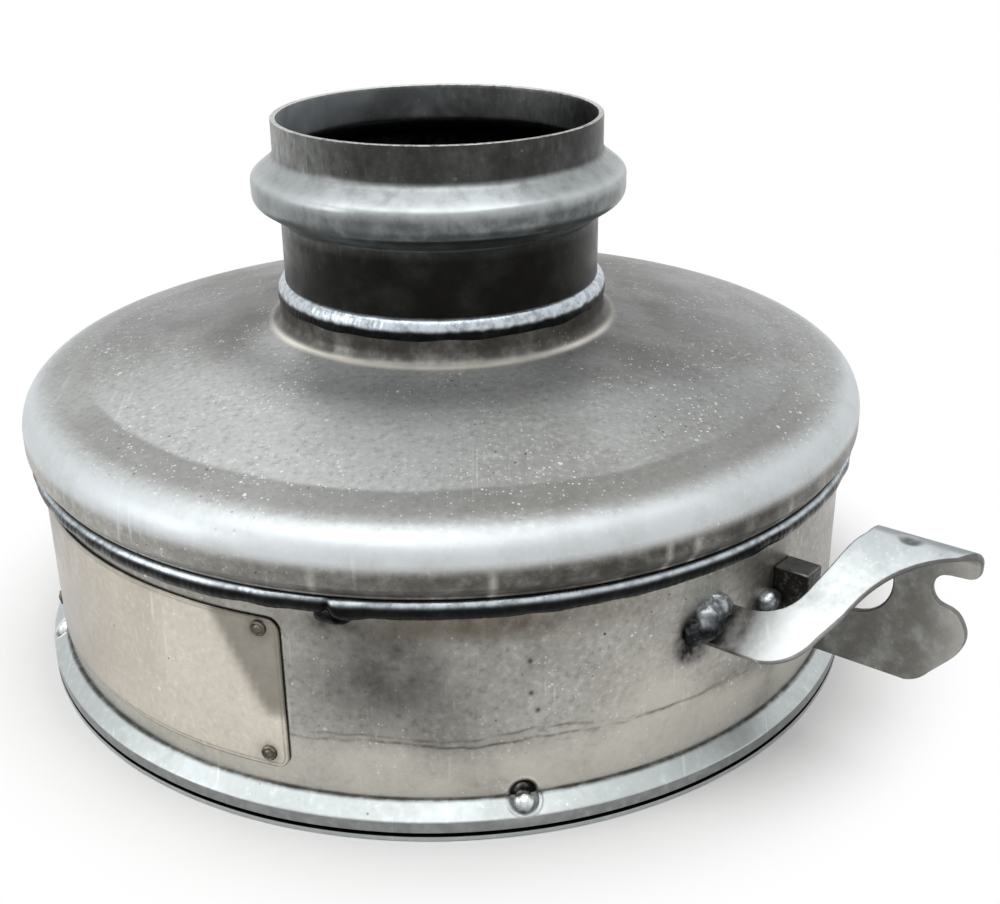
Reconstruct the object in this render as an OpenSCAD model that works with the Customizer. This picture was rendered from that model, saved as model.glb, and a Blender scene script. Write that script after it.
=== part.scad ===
// Diesel particulate filter, neck end: a short stainless can with a clamp
// flange below, a drawn dome and beaded neck above, and a folded side bracket.
// Units are millimetres. The sealing face of the flange lies on z = 0 and the
// can stands on the z axis. The front of the part faces -y.

/* [Can] */
// Outside diameter of the can
can_od = 322; // [316:1:328]
// Sheet thickness of the can
can_wall = 2; // [1.6:0.1:2.4]
// Height of the can's lower edge above the sealing face
can_low = 3; // [2.5:0.1:4]
// Height of the can that shows, lower edge to dome skirt
can_h = 87; // [83:0.5:91]
// Depth that the can slips into the dome beyond the hem
can_lap = 3; // [2:0.5:4]

/* [Dome] */
// Sheet thickness of the dome
dome_wall = 2.5; // [2:0.1:3]
// Slip clearance between the can and the dome skirt
skirt_gap = 0.2; // [0.1:0.05:0.4]
// Height of the skirt up to the shoulder
skirt_h = 11; // [10:0.5:13]
// How far the skirt stands out beyond its hem
skirt_step = 3.1; // [2.5:0.1:3.5]
// Height of the hem that hugs the can
hem_h = 2; // [1.5:0.1:2.5]
// Radius of the dome's shoulder, outside
shoulder_r = 12.5; // [10:0.5:15]
// Slope of the dome above the shoulder, degrees
dome_slope = 11.1; // [10:0.1:13]
// Radius of the fillet where the dome turns up to the neck
collar_fillet = 4; // [3:0.5:5]
// Height of the collar round the neck
collar_h = 11.9; // [10:0.1:14]

/* [Neck] */
// Outside diameter of the neck pipe
neck_od = 127; // [114:1:132]
// How far the pipe is drawn in below the bead, on the radius
neck_draw = 1.5; // [0:0.1:2.5]
// Wall thickness of the neck pipe
neck_wall = 2; // [1.6:0.1:2.4]
// Height of the neck's rim above the sealing face
neck_top = 209.5; // [200:0.5:220]
// Outside diameter of the rolled bead
bead_od = 145; // [141:1:149]
// Height of the rolled bead, foot to top
bead_h = 23.5; // [20:0.5:26]
// Height of the flat on the bead
bead_flat = 9.3; // [7:0.1:11]
// Length of plain pipe above the bead
lip_h = 14; // [10:0.5:18]
// Slip clearance between the neck and the dome's collar
neck_gap = 0.2; // [0.1:0.05:0.4]

/* [Flange] */
// How far the clamp flange stands out beyond the can
flange_w = 6.5; // [5.5:0.1:8]
// Height of the flange
flange_h = 12.5; // [11:0.1:14]
// Height where the flange's slope meets its rim
rim_high = 7.7; // [7:0.1:8.5]
// Height of the thin lip under the rim groove
lip_low_h = 1.8; // [1.4:0.1:2.2]
// Radius of the tack pockets at the foot of the can
pocket_r = 5; // [4.5:0.1:5.2]
// Direction of the front tack pocket, degrees
pocket_dir = -82; // [-90:1:-70]
// Direction of the side tack pocket, degrees
pocket_side_dir = -166; // [-175:1:-160]

/* [Filter core] */
// Thickness of the mat between the filter block and the can
mat_t = 6.6; // [5:0.1:8]
// Length of the filter block
brick_len = 76.2; // [70:0.1:78]
// Height of the filter block's lower face
brick_low = 9; // [8:0.1:10]
// Height of the mesh seal at each end of the block
seal_h = 6; // [4:0.5:8]
// Sheet thickness of the retaining rings
retainer_t = 1.6; // [1.2:0.1:2]
// Height of the retaining rings' upright leg
retainer_h = 5; // [4:0.1:5]
// How far the retaining rings reach in under the block's rim
retainer_in = 5.5; // [4:0.5:8]

/* [Data plate] */
// Length of the plate along the can
plate_len = 165; // [150:1:180]
// Height of the plate
plate_h = 58; // [52:0.5:60]
// Thickness of the plate
plate_t = 0.8; // [0.5:0.1:1.2]
// Clearance left between the plate and the can
plate_gap = 0.15; // [0.1:0.05:0.3]
// Clear height left between the plate and the seam weld
plate_drop = 4; // [3:0.5:6]
// Direction of the plate's front end, degrees
plate_dir = -110; // [-114:0.5:-108]
// Corner radius of the plate
plate_corner = 5; // [3:0.5:6]
// Diameter of the rivet heads
rivet_head = 5.6; // [5:0.1:6]
// Diameter of the rivet shanks
rivet_shank = 3; // [2.6:0.1:3.4]

/* [Bracket] */
// Sheet thickness of the bracket
sheet = 3; // [2.5:0.1:3.5]
// Direction of the bracket's fin, degrees
bracket_dir = -40; // [-44:0.5:-36]
// Height of the fold's crest
fold_top = 91; // [89:0.1:92]
// Inside bend radius of the fold
fold_r = 2.5; // [2:0.1:3.5]
// Slope of the strap below the fold, degrees
strap_slope = 37; // [35:0.5:39]
// Width of the strap where it meets the can
strap_w = 16.4; // [15:0.2:18]
// Distance along the slope from the fold to the strap's centre line
strap_run = 48.4; // [47:0.2:50]
// Reach of the fold's inner end from the can
fold_in = 26; // [25:0.5:28]
// Reach of the fin's outer edge from the can
fin_out = 64; // [62:0.5:67]
// Height of the fin's lower edge
fin_low = 34; // [32:0.5:36]
// Radius of the round window between fin and can
window_r = 15.8; // [14:0.1:16.5]
// Radius of the hook notch in the fin's outer edge
notch_r = 6.4; // [5.5:0.1:7]

/* [Stop block] */
// Width of the stop block along the can
block_w = 10.5; // [9:0.5:12]
// Reach of the stop block from the can
block_out = 12.5; // [11:0.5:14]
// Height of the stop block's lower face
block_low = 46; // [44:0.5:48]
// Height of the stop block
block_h = 25; // [23:0.5:27]

/* [Hidden] */
$fn = 96;
can_r = can_od / 2;
can_in = can_r - can_wall;
// Dome
skirt_low = can_low + can_h;
skirt_in = can_r + skirt_gap;
hem_out = skirt_in + dome_wall;
skirt_out = hem_out + skirt_step;
skirt_top = skirt_low + skirt_h;
hem_top = skirt_low + hem_h + skirt_step;
can_top = skirt_low + hem_h + can_lap;
dome_rise = tan(dome_slope);
shoulder_c = [skirt_out - shoulder_r, skirt_top];
cone_r0 = shoulder_c[0] + shoulder_r * sin(dome_slope);
cone_z0 = skirt_top + shoulder_r * cos(dome_slope);
// Neck
neck_r = neck_od / 2;
neck_in = neck_r - neck_wall;
pipe_r = neck_r - neck_draw;
pipe_in = pipe_r - neck_wall;
collar_in = pipe_r + neck_gap;
collar_out = collar_in + dome_wall;
fillet_cr = collar_out + collar_fillet;
fillet_c = [fillet_cr, cone_z(fillet_cr) + collar_fillet / cos(dome_slope)];
collar_land = cone_z(collar_in) - dome_wall / cos(dome_slope);
collar_top = collar_land + collar_h;
neck_low = collar_land - 3;
bead_r = bead_od / 2;
bead_high = neck_top - lip_h;
bead_low = bead_high - bead_h;
bead_ramp = (bead_h - bead_flat) / 2;
neck_weld_h = 6.3;
// Flange
flange_r = can_r + flange_w;
rim_cut = flange_w / 4;
pocket_c = [can_in + pocket_r * 1.08, flange_h + pocket_r * 0.14];
tack_r = pocket_r * 0.6;
seam_r = 4.4;
seam_z = skirt_low - seam_r * 0.82;
// Filter core
brick_r = can_in - mat_t;
brick_top = brick_low + brick_len;
retainer_r = brick_r - retainer_in;
// Data plate
plate_in = can_r + plate_gap;
plate_low = seam_z - seam_r - plate_drop - plate_h;
plate_r = plate_in + plate_t;
plate_span = plate_len / plate_r * 180 / PI;
plate_mid = plate_dir - plate_span / 2;
plate_chord = plate_r * sin(plate_span / 2);
rivet_in = rivet_head * 1.3;
rivet_turn = plate_span / 2 - rivet_in / plate_r * 180 / PI;
rivet_lift = [plate_low + rivet_head * 0.93, plate_low + plate_h - rivet_head * 0.75];
// Bracket, x outward along the fin and y along the can
fold_out = fold_r + sheet;
fold_z = fold_top - fold_out;
strap_t0 = fold_r + fold_out * sin(strap_slope);
strap_z0 = fold_z + fold_out * cos(strap_slope);
strap_in = strap_run - strap_w / 2;
strap_out = strap_run + strap_w / 2;
fin_x = can_r + fin_out;
fold_x0 = can_r + fold_in;
fold_x1 = fin_x - 4;
window_x = can_r + 21;
window_c = [window_x, fold_z - 0.7 - sqrt(pow(window_r, 2) - pow(fold_x0 - window_x, 2))];
notch_c = [fin_x - 7.2, fold_z - 12.4];
arm_z = window_c[1] - window_r;
block_y = 4;

// Height of the dome's outer slope at radius r
function cone_z(r) = cone_z0 + (cone_r0 - r) * dome_rise;
// Points along a circular arc
function arc(c, r, a0, a1, n = 10) =
    [for (i = [0:n]) let(a = a0 + (a1 - a0) * i / n) c + r * [cos(a), sin(a)]];
// Points along a curve pulled toward a corner
function bend(p, q, s, n = 8) =
    [for (i = [0:n]) let(t = i / n) (1 - t) * (1 - t) * p + 2 * t * (1 - t) * q + t * t * s];
// Distance of the can's surface from the axis plane at offset y
function wall_x(y) = sqrt(can_r * can_r - y * y);

// A solid of the can's outside, for trimming what is welded to it
module can_solid() {
    translate([0, 0, -10]) cylinder(r = can_r, h = skirt_low + 40, $fn = 360);
}

// A ring turned from a box section
module ring(r0, r1, z0, z1) {
    rotate_extrude() polygon([[r0, z0], [r1, z0], [r1, z1], [r0, z1]]);
}

// The round pockets at the foot of the can
module pockets() {
    for (a = [pocket_dir, pocket_side_dir])
        rotate([0, 0, a]) translate([pocket_c[0], 0, pocket_c[1]]) sphere(r = pocket_r);
}

// Positions of the four plate rivets, x pointing out of the can
module at_rivets() {
    for (s = [-1, 1])
        for (z = rivet_lift)
            rotate([0, 0, plate_mid + s * rivet_turn]) translate([0, 0, z]) rotate([0, 90, 0]) children();
}

// The bracket's own directions, x outward along the fin
module at_bracket() {
    rotate([0, 0, bracket_dir]) children();
}

// Rolled can, plain tube with rivet holes and two shallow pockets
module body_shell() {
    color("silver")
    difference() {
        ring(can_in, can_r, can_low, can_top);
        pockets();
        at_rivets() translate([0, 0, can_in - 5]) cylinder(d = rivet_shank, h = 12);
    }
}

// Clamp flange with a sloped top, a rim, a groove and a thin lip
module flange_ring() {
    color("gainsboro")
    difference() {
        rotate_extrude() polygon([
            [can_r, 0], [flange_r, 0], [flange_r, lip_low_h], [flange_r - rim_cut, lip_low_h + 0.3],
            [flange_r - rim_cut, lip_low_h + 1], [flange_r, lip_low_h + 1.5], [flange_r, rim_high],
            [can_r + 0.8, flange_h], [can_r, flange_h]]);
        pockets();
    }
}

// Fillet weld joining the can's lower edge to the flange bore
module flange_weld() {
    color("dimgray")
    rotate_extrude() polygon([[can_r, can_low - 2.2], [can_r, can_low], [can_in, can_low]]);
}

// Weld nuggets lying in the two pockets
module flange_tacks() {
    color("lightgray")
    for (a = [pocket_dir, pocket_side_dir])
        rotate([0, 0, a])
        intersection() {
            translate([pocket_c[0], 0, pocket_c[1]]) sphere(r = pocket_r);
            translate([pocket_c[0] - pocket_r * 0.4, 0, pocket_c[1] - pocket_r * 0.7]) sphere(r = tack_r);
        }
}

// Drawn dome: skirt, shoulder, slope and collar in one sheet
module end_dome() {
    color("darkgray")
    rotate_extrude() polygon(concat(
        [[skirt_in, skirt_low], [hem_out, skirt_low], [hem_out, skirt_low + hem_h * 0.6], [skirt_out, hem_top]],
        arc(shoulder_c, shoulder_r, 0, 90 - dome_slope, 14),
        arc(fillet_c, collar_fillet, 270 - dome_slope, 180, 8),
        [[collar_out, collar_top], [collar_in, collar_top], [collar_in, collar_land]],
        arc(shoulder_c, shoulder_r - dome_wall, 90 - dome_slope, 0, 14),
        [[skirt_out - dome_wall, hem_top + 1], [skirt_in, skirt_low + hem_h]]));
}

// Ring weld under the edge of the skirt
module seam_weld() {
    color("dimgray")
    rotate_extrude() polygon(concat(
        [[can_r, seam_z - seam_r], [can_r, skirt_low], [hem_out - 0.3, skirt_low]],
        arc([can_r, seam_z], seam_r, 48, -90, 12)));
}

// Neck pipe with a hollow rolled bead
module neck_pipe() {
    color("slategray")
    rotate_extrude() polygon([
        [pipe_in, neck_low], [pipe_r, neck_low], [pipe_r, bead_low], [bead_r, bead_low + bead_ramp],
        [bead_r, bead_high - bead_ramp], [neck_r, bead_high], [neck_r, neck_top], [neck_in, neck_top],
        [neck_in, bead_high - neck_wall * 0.4], [bead_r - neck_wall, bead_high - bead_ramp - neck_wall * 0.4],
        [bead_r - neck_wall, bead_low + bead_ramp + neck_wall * 0.4], [pipe_in, bead_low + neck_wall * 0.4]]);
}

// Ring weld on the collar's edge
module neck_weld() {
    color("gray")
    rotate_extrude() polygon(concat(
        [[pipe_r, collar_top + neck_weld_h], [pipe_r, collar_top], [collar_out + 0.3, collar_top]],
        bend([collar_out + 0.5, collar_top + 1.5], [collar_out + 0.5, collar_top + neck_weld_h - 1],
            [pipe_r + 0.4, collar_top + neck_weld_h], 6)));
}

// Ceramic filter block
module filter_brick() {
    color("tan") translate([0, 0, brick_low]) cylinder(r = brick_r, h = brick_len);
}

// Support mat packed between the block and the can
module support_mat() {
    color("ivory") ring(brick_r, can_in, brick_low + seal_h, brick_top - seal_h);
}

// Mesh seal at the lower end of the mat
module lower_seal() {
    color("gray") ring(brick_r, can_in, brick_low, brick_low + seal_h);
}

// Mesh seal at the upper end of the mat
module upper_seal() {
    color("gray") ring(brick_r, can_in, brick_top - seal_h, brick_top);
}

// Angle ring under the block, leg turned down along the can
module lower_retainer() {
    color("silver")
    rotate_extrude() polygon([
        [retainer_r, brick_low - retainer_t], [can_in - retainer_t, brick_low - retainer_t],
        [can_in - retainer_t, brick_low - retainer_h], [can_in, brick_low - retainer_h],
        [can_in, brick_low], [retainer_r, brick_low]]);
}

// Angle ring over the block, leg turned up along the can
module upper_retainer() {
    color("silver")
    rotate_extrude() polygon([
        [retainer_r, brick_top], [can_in, brick_top], [can_in, brick_top + retainer_h],
        [can_in - retainer_t, brick_top + retainer_h], [can_in - retainer_t, brick_top + retainer_t],
        [retainer_r, brick_top + retainer_t]]);
}

// Bare curved plate riveted to the can
module data_plate() {
    color("beige")
    difference() {
        intersection() {
            ring(plate_in, plate_r, plate_low - 1, plate_low + plate_h + 1);
            rotate([0, 0, plate_mid]) rotate([90, 0, 90]) linear_extrude(height = can_r + 10) polygon(concat(
                arc([plate_chord - plate_corner, plate_low + plate_corner], plate_corner, -90, 0, 6),
                arc([plate_chord - plate_corner, plate_low + plate_h - plate_corner], plate_corner, 0, 90, 6),
                arc([plate_corner - plate_chord, plate_low + plate_h - plate_corner], plate_corner, 90, 180, 6),
                arc([plate_corner - plate_chord, plate_low + plate_corner], plate_corner, 180, 270, 6)));
        }
        at_rivets() translate([0, 0, can_in - 5]) cylinder(d = rivet_shank, h = 16);
    }
}

// Four drive rivets, low round heads on plain shanks
module plate_rivets() {
    color("gray")
    at_rivets() {
        translate([0, 0, can_in]) cylinder(d = rivet_shank, h = plate_r - can_in + 0.4);
        translate([0, 0, plate_r]) cylinder(d1 = rivet_head, d2 = rivet_head - 1.6, h = 1.1);
    }
}

// Strap outline on the slope: x outward, y falling away down the slope from the fold
module strap_outline() {
    polygon(concat(
        [[can_r - 14, -strap_out]],
        bend([can_r + 10, -strap_out], [can_r + 24, 1 - strap_out], [can_r + 28, -strap_in - 2], 8),
        bend([can_r + 33, 9 - strap_in], [can_r + 39, -8], [fold_x1, -0.7], 8),
        [[fold_x1, 9], [fold_x0, 9]],
        bend([fold_x0, -0.7], [can_r + 24, 33 - strap_in], [can_r + 21.5, 24 - strap_in], 6),
        bend([can_r + 18.5, 14.5 - strap_in], [can_r + 15, 1 - strap_in], [can_r + 2, -strap_in], 8),
        [[can_r - 14, -strap_in]]));
}

// Fin outline: x outward, y up, with the hook notch and the lower lobe
module fin_outline() {
    polygon(concat(
        [[can_r - 3, fin_low], [fin_x - 26, fin_low]],
        bend([fin_x - 22, fin_low], [fin_x - 15, fin_low], [fin_x - 11, fin_low + 6], 6),
        bend([fin_x - 4, fin_low + 14], [fin_x + 2, fin_low + 22], [fin_x - 1.5, fin_low + 28], 6),
        [[fin_x - 4, notch_c[1] - 8]],
        arc(notch_c, notch_r, -70, -290, 14),
        bend([fin_x - 3, notch_c[1] + 7.8], [fin_x + 1, notch_c[1] + 8.5], [fold_x1, fold_z - 0.7], 6),
        [[fold_x1, fold_top + 4], [fold_x0, fold_top + 4]],
        arc(window_c, window_r, acos((fold_x0 - window_c[0]) / window_r), -90, 14),
        [[can_r - 3, arm_z - 5]]));
}

// Section of the folded sheet: x along the can, y up
module fold_section() {
    run = strap_out + 6;
    foot = [-strap_t0 - run * cos(strap_slope), strap_z0 - run * sin(strap_slope)];
    polygon(concat(
        [[sheet, fin_low - 2]],
        arc([-fold_r, fold_z], fold_out, 0, 90 + strap_slope, 14),
        [foot, foot + sheet * [sin(strap_slope), -cos(strap_slope)]],
        arc([-fold_r, fold_z], fold_r, 90 + strap_slope, 0, 14),
        [[0, fin_low - 2]]));
}

// Space over the slope that the strap may fill, from depth a to height b
module strap_space(a, b) {
    translate([0, -strap_t0, strap_z0]) rotate([strap_slope, 0, 0])
        translate([0, 0, a]) linear_extrude(height = b - a) strap_outline();
}

// Folded bracket: sloped strap, bend and upright fin from one sheet
module bracket() {
    color("lightsteelblue")
    difference() {
        at_bracket()
            intersection() {
                translate([can_r - 14, 0, 0]) rotate([90, 0, 90]) linear_extrude(height = fin_out + 18) fold_section();
                union() {
                    strap_space(-fold_out - 1, 6);
                    translate([0, sheet + 5, 0]) rotate([90, 0, 0]) linear_extrude(height = sheet + 7.4) fin_outline();
                }
            }
        can_solid();
    }
}

// Heavy end weld of the strap on the can
module bracket_end_weld() {
    color("dimgray")
    difference() {
        at_bracket()
            for (i = [0:3])
                let(y = -(strap_t0 + (strap_in + 3 + i * 4.6) * cos(strap_slope) + 3))
                translate([wall_x(y) + 0.5, y, strap_z0 - (strap_in + 3 + i * 4.6) * sin(strap_slope) + 4])
                    sphere(r = 6.2);
        can_solid();
        at_bracket() strap_space(-40, 0);
    }
}

// Upright weld where the fin's arm meets the can
module bracket_fin_weld() {
    color("dimgray")
    difference() {
        at_bracket() translate([can_r - 0.4, 0.3, fin_low + 2]) cylinder(r = 4, h = arm_z - fin_low - 8);
        can_solid();
        at_bracket() translate([0, 0, fin_low]) cube([can_r + 20, sheet + 4, 30]);
    }
}

// Square stop block welded to the can beside the fin
module stop_block() {
    color("gray")
    difference() {
        at_bracket() translate([can_r - 6, -block_y - block_w, block_low]) cube([block_out + 6, block_w, block_h]);
        can_solid();
    }
}

// Weld running down the side of the stop block, with a large end drop
module block_weld() {
    color("dimgray")
    difference() {
        at_bracket() {
            translate([wall_x(block_y + block_w) - 0.7, -block_y - block_w - 0.6, block_low + 1])
                cylinder(r = 3.6, h = 13);
            translate([wall_x(block_y + block_w + 4) - 3, -block_y - block_w - 4, block_low + 13.4])
                rotate([0, 90, 0]) cylinder(r1 = 5.4, r2 = 3.2, h = 7.6);
        }
        can_solid();
        at_bracket() translate([can_r - 6, -block_y - block_w, block_low]) cube([block_out + 6, block_w, block_h]);
    }
}

body_shell();
flange_ring();
flange_weld();
flange_tacks();
end_dome();
seam_weld();
neck_pipe();
neck_weld();
filter_brick();
support_mat();
lower_seal();
upper_seal();
lower_retainer();
upper_retainer();
data_plate();
plate_rivets();
bracket();
bracket_end_weld();
bracket_fin_weld();
stop_block();
block_weld();
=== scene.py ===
import logging
import math
from dataclasses import dataclass, field
from enum import Enum
from typing import Sequence

import bmesh
import bpy
import numpy as np
from mathutils import Matrix, Vector


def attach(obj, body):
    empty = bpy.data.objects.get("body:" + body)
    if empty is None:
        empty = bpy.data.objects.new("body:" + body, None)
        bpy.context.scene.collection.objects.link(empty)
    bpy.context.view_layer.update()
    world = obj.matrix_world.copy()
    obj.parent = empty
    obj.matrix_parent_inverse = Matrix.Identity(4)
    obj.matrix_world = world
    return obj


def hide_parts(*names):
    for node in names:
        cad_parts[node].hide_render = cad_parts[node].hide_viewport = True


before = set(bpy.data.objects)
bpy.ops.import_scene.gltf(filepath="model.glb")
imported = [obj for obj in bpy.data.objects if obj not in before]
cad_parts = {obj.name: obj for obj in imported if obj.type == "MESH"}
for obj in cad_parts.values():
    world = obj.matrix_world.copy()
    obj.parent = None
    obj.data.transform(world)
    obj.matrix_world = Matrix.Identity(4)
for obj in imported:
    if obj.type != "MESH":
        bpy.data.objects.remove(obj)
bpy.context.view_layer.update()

LOG = logging.getLogger("particulate_filter")
MM = 0.001
BODY = "root"
LAMP_AIM = (0.0, 0.0, 0.1)
CLOSED = 1e-4
Tone = tuple[float, float, float, float]
Socket = bpy.types.NodeSocket
Fill = Socket | float | Sequence[float]


class Slot(Enum):
    """Material slots of the record that the pieces take their finish from."""

    CAN = "can_steel"
    FLANGE = "flange_steel"
    WELD = "weld_steel"
    TACK = "tack_steel"
    DOME = "dome_steel"
    NECK = "neck_steel"
    BRICK = "filter_ceramic"
    MAT = "mat_fibre"
    MESH = "mesh_steel"
    RETAINER = "retainer_steel"
    PLATE = "plate_steel"
    RIVET = "rivet_steel"
    BRACKET = "bracket_steel"
    BURNT = "burnt_weld"
    BLOCK = "block_steel"


class Calc(Enum):
    """Sums that a finish works out on its masks."""

    ADD = "ADD"
    TIMES = "MULTIPLY"
    LESS = "SUBTRACT"
    MOST = "MAXIMUM"
    SIZE = "ABSOLUTE"
    OVER = "GREATER_THAN"
    WRAP = "FRACT"


def tone(red: int, green: int, blue: int) -> Tone:
    """A screen colour as the linear colour that shaders take.

    Args:
        red, green, blue: screen values from 0 to 255.
    Returns:
        Linear red, green, blue and an opaque alpha.
    """
    screen = np.array([red, green, blue]) / 255.0
    linear = np.where(screen <= 0.04045, screen / 12.92, ((screen + 0.055) / 1.055) ** 2.4)
    return (*(float(v) for v in linear), 1.0)


PALE_SPECK = tone(226, 228, 226)
DARK_SPECK = tone(40, 37, 33)
# Share of the speck scale, share of the speck count and colour of each kind of speck
SPECK_KINDS = ((1.0, 1.0, PALE_SPECK), (0.6, 0.2, PALE_SPECK), (0.9, 0.16, DARK_SPECK))
# Directions of the three sets of scratches, degrees about each axis
SCRATCH_TURNS = ((20.0, 12.0, 5.0), (76.0, 34.0, 40.0), (118.0, 62.0, 81.0))


class NodeBoard:
    """A material's node tree, with short ways to add what the finishes need."""

    def __init__(self, name: str) -> None:
        """Starts a material with one shader.

        Args:
            name: the material's name.
        """
        self.material = bpy.data.materials.new(name)
        self.material.use_nodes = True
        self.tree = self.material.node_tree
        self.tree.nodes.clear()
        self.shader = self.add("BsdfPrincipled")
        self.output = self.add("OutputMaterial", Surface=self.shader.outputs[0])
        self.place = self.add("TexCoord")

    def feed(self, socket: Socket, value: Fill) -> None:
        """Links a socket to another, or sets its own value.

        Args:
            socket: the input to fill.
            value: an output socket, or a plain number or vector.
        """
        if isinstance(value, bpy.types.NodeSocket):
            self.tree.links.new(value, socket)
        else:
            socket.default_value = value

    def fill(self, node: bpy.types.Node, *values: Fill, **named: Fill) -> bpy.types.Node:
        """Feeds a node's inputs, the first ones in order and others by name.

        Args:
            node: the node to fill.
            values: output sockets or plain values for its first inputs.
            named: the same for inputs by name, with a low line for each blank.
        Returns:
            The same node.
        """
        for socket, value in zip(node.inputs, values):
            self.feed(socket, value)
        for name, value in named.items():
            self.feed(node.inputs[name.replace("_", " ")], value)
        return node

    def add(self, kind: str, *values: Fill, **named: Fill) -> bpy.types.Node:
        """Adds a node of a kind, given without its prefix, and fills its inputs."""
        return self.fill(self.tree.nodes.new(f"ShaderNode{kind}"), *values, **named)

    def mapped(self, stretch: Sequence[float], turn: Sequence[float] = (0.0, 0.0, 0.0)) -> Socket:
        """The piece's own coordinates, stretched and turned.

        Args:
            stretch: scale along each axis.
            turn: angles about each axis, degrees.
        Returns:
            The mapped vector.
        """
        angles = [math.radians(a) for a in turn]
        place = self.place.outputs["Object"]
        return self.add("Mapping", Scale=stretch, Rotation=angles, Vector=place).outputs[0]

    def noise(self, scale: float, stretch: Sequence[float] = (1.0, 1.0, 1.0), detail: float = 4.0,
              turn: Sequence[float] = (0.0, 0.0, 0.0), twist: float = 0.0) -> Socket:
        """Smooth noise over the piece.

        Args:
            scale: waves per metre.
            stretch: scale along each axis before the noise.
            detail: number of finer layers.
            turn: angles about each axis, degrees.
            twist: how far the noise is bent by itself.
        Returns:
            Noise from 0 to 1, mostly near 0.5.
        """
        texture = self.add("TexNoise", Scale=scale, Detail=detail, Roughness=0.6, Distortion=twist)
        return self.fill(texture, Vector=self.mapped(stretch, turn)).outputs[0]

    def dots(self, scale: float, size: float, share: float) -> Socket:
        """Scattered small dots of mixed sizes, crowded in places.

        Args:
            scale: cells per metre, each with one dot at most.
            size: largest dot radius as a share of a cell.
            share: share of the cells that hold a dot.
        Returns:
            A mask, 1 inside the dots.
        """
        texture = self.add("TexVoronoi", Scale=scale)
        self.fill(texture, Vector=self.mapped((1.0, 1.0, 1.0)))
        parts = self.add("SeparateColor", texture.outputs["Color"])
        reach = self.calc(Calc.TIMES, parts.outputs[1], size)
        near = self.span(self.calc(Calc.LESS, texture.outputs["Distance"], reach), 0.0, -0.1)
        kept = self.calc(Calc.OVER, parts.outputs[0], 1.0 - share)
        crowd = self.span(self.noise(26.0, detail=3.0), 0.4, 0.6, 0.15, 1.0)
        return self.calc(Calc.TIMES, self.calc(Calc.TIMES, near, kept), crowd)

    def calc(self, kind: Calc, first: Socket | float, second: Socket | float = 0.0) -> Socket:
        """A sum of two masks.

        Args:
            kind: which sum.
            first, second: sockets or numbers.
        Returns:
            The result.
        """
        node = self.add("Math", first, second)
        node.operation = kind.value
        return node.outputs[0]

    def span(self, value: Socket, low: float, high: float, start: float = 0.0, end: float = 1.0) -> Socket:
        """A smooth step of a value.

        Args:
            value: the value to map.
            low, high: where the step begins and ends.
            start, end: the results there.
        Returns:
            The stepped value.
        """
        node = self.add("MapRange", value, low, high, start, end)
        node.interpolation_type = "SMOOTHSTEP"
        return node.outputs[0]

    def mark(self, name: str) -> Socket:
        """A mask stored on the mesh.

        Args:
            name: the mask's name.
        Returns:
            The mask.
        """
        node = self.add("Attribute")
        node.attribute_name = name
        return node.outputs["Fac"]

    def blend(self, share: Socket | float, first: Socket | Tone, second: Socket | Tone) -> Socket:
        """A mix of two colours.

        Args:
            share: 0 for the first, 1 for the second.
            first, second: colours.
        Returns:
            The mixed colour.
        """
        node = self.add("Mix", share)
        node.data_type = "RGBA"
        self.feed(node.inputs[6], first)
        self.feed(node.inputs[7], second)
        return node.outputs[2]

    def rise(self) -> Socket:
        """How far the surface is turned up, from -1 to 1."""
        return self.add("SeparateXYZ", self.place.outputs["Normal"]).outputs["Z"]

    def axis(self, name: str) -> Socket:
        """One of the piece's own coordinates, X, Y or Z."""
        return self.add("SeparateXYZ", self.place.outputs["Object"]).outputs[name]

    def bump(self, height: Socket, depth: float) -> None:
        """Adds fine relief to the shader.

        Args:
            height: relief from 0 to 1.
            depth: its full depth in metres.
        """
        relief = self.add("Bump", Distance=depth, Height=height)
        self.fill(self.shader, Normal=relief.outputs[0])


@dataclass(frozen=True)
class Mark:
    """A stain, burn or wear mark, or a painted highlight or shade, that a mask on the mesh places."""

    name: str
    colour: Tone
    strength: float = 1.0
    ragged: float = 0.6
    scale: float = 260.0
    under: bool = False


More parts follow.
